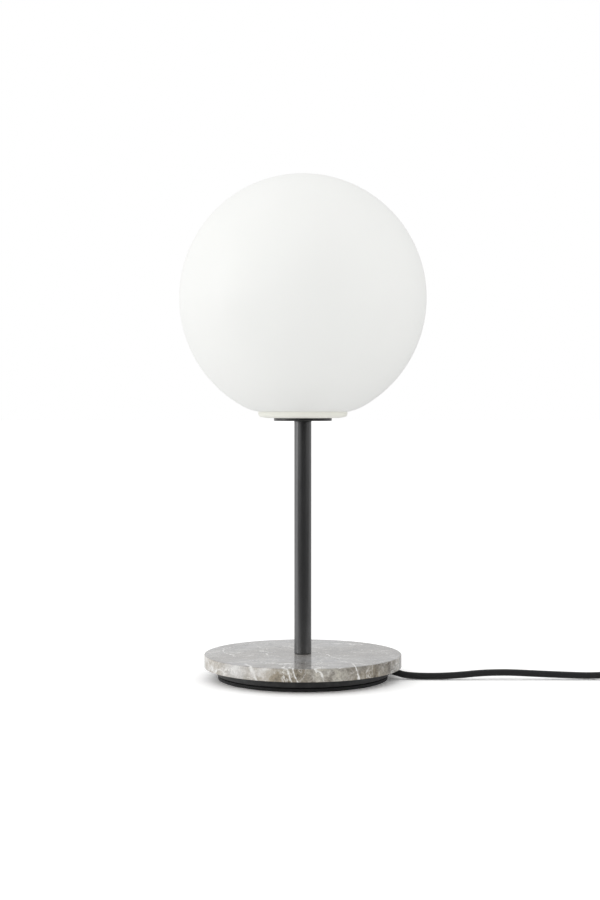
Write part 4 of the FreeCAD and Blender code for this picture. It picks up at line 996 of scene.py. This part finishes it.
class LAMP_OT_strap(bpy.types.Operator):
    """Close the woven strap that holds the coil together"""

    bl_idname = "lamp.strap"
    bl_label = "Coil strap"

    def execute(self, context):
        sizes = context.scene.lamp_sizes
        loop = self.around_the_coil(sizes)
        following, previous = np.roll(loop, -1, 0), np.roll(loop, 1, 0)
        normal = unit(following - previous) @ TO_THE_RIGHT
        # The band's own section is a flat strip with round ends, laid across the loop's normal.
        angle = circle(28)[None, :]
        across = sizes.strap_width / 2 * signed_power(np.cos(angle), 0.35)
        thick = sizes.strap_wall / 2 * (signed_power(np.sin(angle), 0.6) + 1)
        reach = loop[:, None, 0] + normal[:, None, 0] * thick
        height = np.maximum(loop[:, None, 1] + normal[:, None, 1] * thick, 0.02 * MM)
        turn = 2 * math.pi * STRAP_TURN
        x = COIL_CENTRE[0] + reach * math.cos(turn) - across * math.sin(turn)
        y = COIL_CENTRE[1] + reach * math.sin(turn) + across * math.cos(turn)
        grid = np.stack([x, y, height], -1)[:, ::-1]
        strap = surface("coil_strap", grid, along=distance_along(loop), closed=True)
        weave = woven_finish("strap_weave", context.scene.lamp_colours.textile, 24.0, 900.0)
        put_on(strap, "stand", "cord_textile", material=weave)
        return {"FINISHED"}

    @staticmethod
    def around_the_coil(sizes):
        """The strap's inner line, as (distance from the coil's middle, height)."""
        low_in, low_out = coil_radius(STRAP_TURN + np.array([COIL_IN, -COIL_START_TURN]))
        top_in, top_out = coil_radius(STRAP_TURN + np.array([COIL_IN + 1, COIL_IN + 3]))
        hug = sizes.cord_radius + 0.3 * MM
        floor, shoulder = 0.12 * MM, FLOOR_LEVEL + 1.5 * MM
        top = FLOOR_LEVEL + COIL_LAYER + sizes.cord_radius + 0.2 * MM
        floor_turn, shoulder_turn, top_turn = 2.4 * MM, 1.6 * MM, 2.6 * MM
        corners = [
            (low_in - hug, floor, floor_turn),
            (low_out + hug, floor, floor_turn),
            (low_out + hug, shoulder, shoulder_turn),
            (top_out + hug, top, top_turn),
            (top_in - hug, top, top_turn),
            (low_in - hug, shoulder, shoulder_turn),
        ]
        return soften(corners, steps=10)


class LAMP_OT_cords(bpy.types.Operator):
    """Lay the textile cord: the run to the switch, and the coil from it to the plug"""

    bl_idname = "lamp.cords"
    bl_label = "Cords"

    def execute(self, context):
        radius = context.scene.lamp_sizes.cord_radius
        run_path = centreline("run_line", run_route())
        run = sleeve("cord_to_switch", run_path, radius, 32)
        put_on(run, "stand", "cord_textile", "cord_run")
        stored_path = centreline("stored_line", stored_route())
        stored = sleeve("cord_to_plug", stored_path, radius, 20)
        put_on(stored, "stand", "cord_textile", "cord_link", "cord_coil", "cord_tail")
        return {"FINISHED"}

    @staticmethod
    def on_the_cord():
        """The plug, its sleeves and the strap, which are made before the cord."""
        names = ("plug_boot", "plug_grip", "pin_sleeve_near", "pin_sleeve_far", "coil_strap")
        return [bpy.data.objects[name] for name in names]


class LAMP_OT_globe(bpy.types.Operator):
    """Blow the opal globe: a sphere that turns in more tightly round its mouth"""

    bl_idname = "lamp.globe"
    bl_label = "Globe"

    def execute(self, context):
        sizes = context.scene.lamp_sizes
        radius, turn = sizes.globe_radius, sizes.mouth_turn
        mouth, wall = sizes.mouth_radius, sizes.glass_wall
        centre = GLASS_HIGH.z - radius
        # Outside is (r sin a, c - r cos a), with a smaller r and its own centre near the mouth.
        # Inside is the same line, moved inwards along its normal by the wall.
        meeting = math.radians(30.0)
        turn_x = (radius - turn) * math.sin(meeting)
        turn_z = centre - (radius - turn) * math.cos(meeting)
        low = np.linspace(math.asin((mouth - turn_x) / turn), meeting, 24, endpoint=False)
        high = np.linspace(meeting, math.pi, 150)
        tight = np.stack([turn_x + turn * np.sin(low), turn_z - turn * np.cos(low)], -1)
        wide = np.stack([radius * np.sin(high), centre - radius * np.cos(high)], -1)
        outer = np.concatenate([tight, wide])
        inner = outer - wall * unit(np.gradient(outer, axis=0)) @ TO_THE_RIGHT
        outer[-1, 0] = 0.0
        inner[-1] = (0.0, GLASS_HIGH.z - wall)
        inner[0] = (mouth - wall, outer[0, 1])
        lip = np.linspace(inner[0], outer[0], 5)[1:-1]
        outline = np.concatenate([inner[::-1], lip, outer])
        globe = revolve("opal_globe", outline, sizes.around, closed=False)
        put_on(globe, "globe", "opal_glass", "glass_globe")
        return {"FINISHED"}


class LAMP_OT_collar(bpy.types.Operator):
    """Mould the globe's collar: a shallow bowl outside, with the well for the holder inside"""

    bl_idname = "lamp.collar"
    bl_label = "Collar"

    def execute(self, context):
        sizes = context.scene.lamp_sizes
        low, high = COLLAR_LOW.z, COLLAR_HIGH.z
        rim, wall = sizes.collar_radius, 2 * MM
        # Heights of the bowl's underside and inner floor, and of what stands in it.
        underside, bowl_floor = low - 0.15 * MM, low + 3.1 * MM
        recess_roof, ceiling, throat_foot = low + 0.9 * MM, high - 6 * MM, high - 22.6 * MM
        shoulder = GLASS_LOW.z - 0.02 * MM
        spigot_top, roof = shoulder + 4.8 * MM, ceiling + wall
        # Radii from the middle outwards.
        throat, neck, ring_hole, ring = 9.5 * MM, 11.4 * MM, 19.3 * MM, 22.3 * MM
        well, recess, spigot = 22 * MM, 23.6 * MM, 33.8 * MM
        crisp, eased, soft = 0.1 * MM, 0.3 * MM, 0.4 * MM
        corners = [
            (well, recess_roof, crisp),
            (recess, recess_roof, crisp),
            (recess, underside, 0.2 * MM),
            (rim - 6.4 * MM, underside, 12 * MM),
            (rim - 0.9 * MM, low + 1.0 * MM, 1.8 * MM),
            (rim, low + 2.9 * MM, 2.5 * MM),
            (rim, shoulder, crisp),
            (spigot, shoulder, crisp),
            (spigot, spigot_top, soft),
            (spigot - wall, spigot_top, soft),
            (spigot - wall, bowl_floor, soft),
            (well + wall, bowl_floor, soft),
            (well + wall, roof, 0.5 * MM),
            (ring, roof, crisp),
            (ring, high, eased),
            (ring_hole, high, eased),
            (ring_hole, roof, eased),
            (throat, roof, eased),
            (throat, throat_foot, eased),
            (neck, throat_foot, 0.2 * MM),
            (neck, ceiling, 0.5 * MM),
            (well, ceiling, 0.8 * MM),
        ]
        collar = revolve("collar_bowl", soften(corners), sizes.around)
        put_on(collar, "globe", "collar_plastic", "globe_collar")
        return {"FINISHED"}


class LAMP_OT_marble(bpy.types.Operator):
    """Cut the marble disc, with its edges broken and a hole for the threaded tube"""

    bl_idname = "lamp.marble"
    bl_label = "Marble disc"

    def execute(self, context):
        sizes = context.scene.lamp_sizes
        hole, hole_edge = 5.45 * MM, 0.3 * MM
        radii, heights = (hole, sizes.marble_radius), (MARBLE_LOW.z, MARBLE_HIGH.z)
        roundings = (hole_edge, sizes.marble_arris, sizes.marble_edge)
        disc = turned_ring("marble_slab", radii, heights, roundings, sizes.around, steps=10)
        put_on(disc, "stand", "grey_marble", "marble_disc")
        return {"FINISHED"}


class LAMP_OT_stem(bpy.types.Operator):
    """Turn the stem, with both ends broken"""

    bl_idname = "lamp.stem"
    bl_label = "Stem"

    def execute(self, context):
        sizes = context.scene.lamp_sizes
        bore, bore_edge = 5 * MM, 0.2 * MM
        radii, heights = (bore, sizes.stem_radius), (STEM_LOW.z, STEM_HIGH.z)
        roundings = (bore_edge, sizes.stem_edge, sizes.stem_edge)
        stem = turned_ring("stem_pipe", radii, heights, roundings, 96)
        put_on(stem, "stand", "stem_metal", "stem_tube")
        return {"FINISHED"}


class LAMP_OT_foot(bpy.types.Operator):
    """Mould the foot pad: a stepped rim, a hollow above and rings of tread below"""

    bl_idname = "lamp.foot"
    bl_label = "Foot pad"

    def execute(self, context):
        sizes = context.scene.lamp_sizes
        radius, high, edge = FOOT_HIGH.x, FOOT_HIGH.z, sizes.foot_edge
        step, hollow, rim, web = radius - 2 * MM, 46 * MM, 2.5 * MM, 1 * MM
        near_axis, crisp, eased, steps = 4 * MM, 0.1 * MM, 0.2 * MM, 6
        corners = [
            (near_axis, 0.0, crisp),
            (radius, 0.0, edge),
            (radius, rim, edge),
            (step, rim, 0.15 * MM),
            (step, high, eased),
            (hollow, high, eased),
            (hollow, web, crisp),
            (near_axis, web, crisp),
        ]
        # The two corners by the axis only close the outline: the tread takes their rows' place.
        rows = steps + 2
        shell = soften(corners, steps)[rows:-rows]
        tread = self.tread(radius - 2.4 * MM, sizes)
        outline = np.concatenate([tread, shell, [[0.0, web]]])
        foot = revolve("foot_rings", outline, 192, closed=False)
        put_on(foot, "stand", "foot_rubber", "foot_pad")
        return {"FINISHED"}

    @staticmethod
    def tread(reach, sizes):
        """Rings under the foot: depth (1 - wave) / 2, the wave a clipped cosine of the radius.

        They fade out towards the middle and the rim.
        """
        steepness, rim_fade, middle_fade, steps = 2.2, 2 * MM, 6 * MM, 16
        radius = np.arange(0.0, reach, sizes.tread_pitch / steps)
        wave = np.clip(np.cos(2 * math.pi * radius / sizes.tread_pitch) * steepness, -1, 1)
        fade = np.clip((reach - radius) / rim_fade, 0, 1)
        fade = fade * np.clip(radius / middle_fade - 1, 0, 1)
        return np.stack([radius, sizes.tread_depth * (1 - wave) / 2 * fade], -1)


class LAMP_OT_stage(bpy.types.Operator):
    """Set the pale floor, the white room and the tall soft lamp at the left"""

    bl_idname = "lamp.stage"
    bl_label = "Stage"

    def execute(self, context):
        studio = context.scene.lamp_studio
        self.lay_floor(context, studio)
        self.light_room(context, studio)
        self.hang_key(context, studio)
        context.scene.view_settings.view_transform = "Standard"
        return {"FINISHED"}

    @staticmethod
    def lay_floor(context, studio):
        """A wide disc. Its colour is brighter where it is seen, so that it meets the backdrop."""
        angle, reach = circle(64), studio.floor_radius
        level = np.full(len(angle), -0.1 * MM)
        points = np.stack([reach * np.cos(angle), reach * np.sin(angle), level], -1)
        mesh = bpy.data.meshes.new("floor")
        mesh.from_pydata(points.tolist(), [], [list(range(len(points)))])
        floor = bpy.data.objects.new("floor", mesh)
        context.scene.collection.objects.link(floor)
        material = bpy.data.materials.new("pale_floor")
        material.use_nodes = True
        tree = material.node_tree
        tree.nodes.clear()
        here = add_node(tree, "ShaderNodeTexCoord").outputs["Object"]
        plain = remap(tree, noise(tree, here, 40.0), 0.3, 0.7, 0.9, 0.92)
        lit = remap(tree, parts_of(tree, here)["X"], -0.1, 0.3, 0.84, 0.54)
        dim = 1 - studio.front_dimming
        mirrored = remap(tree, towards_camera(tree, here), 0.05, 0.25, lit, dim)
        shade = seen_as(tree, plain, mirrored, studio.floor_whiteness)
        grey = dict.fromkeys("XYZ", shade)
        colour = add_node(tree, "ShaderNodeCombineXYZ", grey).outputs[0]
        diffuse = add_node(tree, "ShaderNodeBsdfDiffuse", {"Color": colour}).outputs[0]
        add_node(tree, "ShaderNodeOutputMaterial", {"Surface": diffuse})
        dress(floor, material)

    @staticmethod
    def light_room(context, studio):
        """An even room. Reflections see it dimmer in front, where the camera stands."""
        world = bpy.data.worlds.new("white_room")
        context.scene.world = world
        world.use_nodes = True
        tree = world.node_tree
        tree.nodes.clear()
        way = add_node(tree, "ShaderNodeTexCoord").outputs["Generated"]
        dim = 1 - studio.front_dimming
        front = remap(tree, towards_camera(tree, way), 0.6, 0.93, 1.0, dim)
        side = remap(tree, parts_of(tree, way)["X"], -0.6, 0.6, 1.0, 0.62)
        mirrored = calc(tree, "MULTIPLY", side, front)
        strength = seen_as(tree, studio.room_light, mirrored, 1.0)
        values = {"Color": (1.0, 1.0, 1.0, 1.0), "Strength": strength}
        back = add_node(tree, "ShaderNodeBackground", values).outputs[0]
        add_node(tree, "ShaderNodeOutputWorld", {"Surface": back})

    @staticmethod
    def hang_key(context, studio):
        """The tall lamp at the left, a little in front, turned to the middle of the lamp."""
        data = bpy.data.lights.new("key_light", "AREA")
        data.shape = "RECTANGLE"
        data.size = studio.key_width
        data.size_y = studio.key_height
        data.energy = studio.key_power
        key = bpy.data.objects.new("key_light", data)
        side, front, gap, target = -2.2, -0.35, 0.05, 0.25
        place = np.array([side, front, gap + studio.key_height / 2])
        aim = np.array([0.0, 0.0, target]) - place
        turn = math.atan2(aim[1], aim[0]) - math.pi / 2
        key.location = place
        key.rotation_euler = (math.atan2(math.hypot(aim[0], aim[1]), -aim[2]), 0, turn)
        context.scene.collection.objects.link(key)


class LAMP_PT_sidebar(bpy.types.Panel):
    """The lamp's settings and the steps that build it"""

    bl_idname = "LAMP_PT_sidebar"
    bl_label = "Globe table lamp"
    bl_space_type = "VIEW_3D"
    bl_region_type = "UI"
    bl_category = "Lamp"

    def draw(self, context):
        for setting in GROUPS:
            group = getattr(context.scene, setting)
            for name in group.__annotations__:
                self.layout.prop(group, name)
        for step in STEPS:
            self.layout.operator(step.bl_idname)


STEPS = (
    LAMP_OT_camera,
    LAMP_OT_finishes,
    LAMP_OT_plug,
    LAMP_OT_pin_sleeves,
    LAMP_OT_strap,
    LAMP_OT_cords,
    LAMP_OT_globe,
    LAMP_OT_collar,
    LAMP_OT_marble,
    LAMP_OT_stem,
    LAMP_OT_foot,
    LAMP_OT_stage,
)
GROUPS = {"lamp_sizes": LampSizes, "lamp_colours": LampColours, "lamp_studio": StudioSettings}


def register():
    for item in (*GROUPS.values(), *STEPS, LAMP_PT_sidebar):
        bpy.utils.register_class(item)
    for name, group in GROUPS.items():
        setattr(bpy.types.Scene, name, bpy.props.PointerProperty(type=group))


def unregister():
    for name in GROUPS:
        delattr(bpy.types.Scene, name)
    for item in reversed((*GROUPS.values(), *STEPS, LAMP_PT_sidebar)):
        bpy.utils.unregister_class(item)


def main():
    register()
    bpy.ops.lamp.camera()
    bpy.ops.lamp.finishes()
    bpy.ops.lamp.plug()
    bpy.ops.lamp.pin_sleeves()
    bpy.ops.lamp.strap()
    bpy.ops.lamp.cords()
    bpy.ops.lamp.globe()
    bpy.ops.lamp.collar()
    bpy.ops.lamp.marble()
    bpy.ops.lamp.stem()
    bpy.ops.lamp.foot()
    bpy.ops.lamp.stage()


if __name__ == "__main__":
    main()
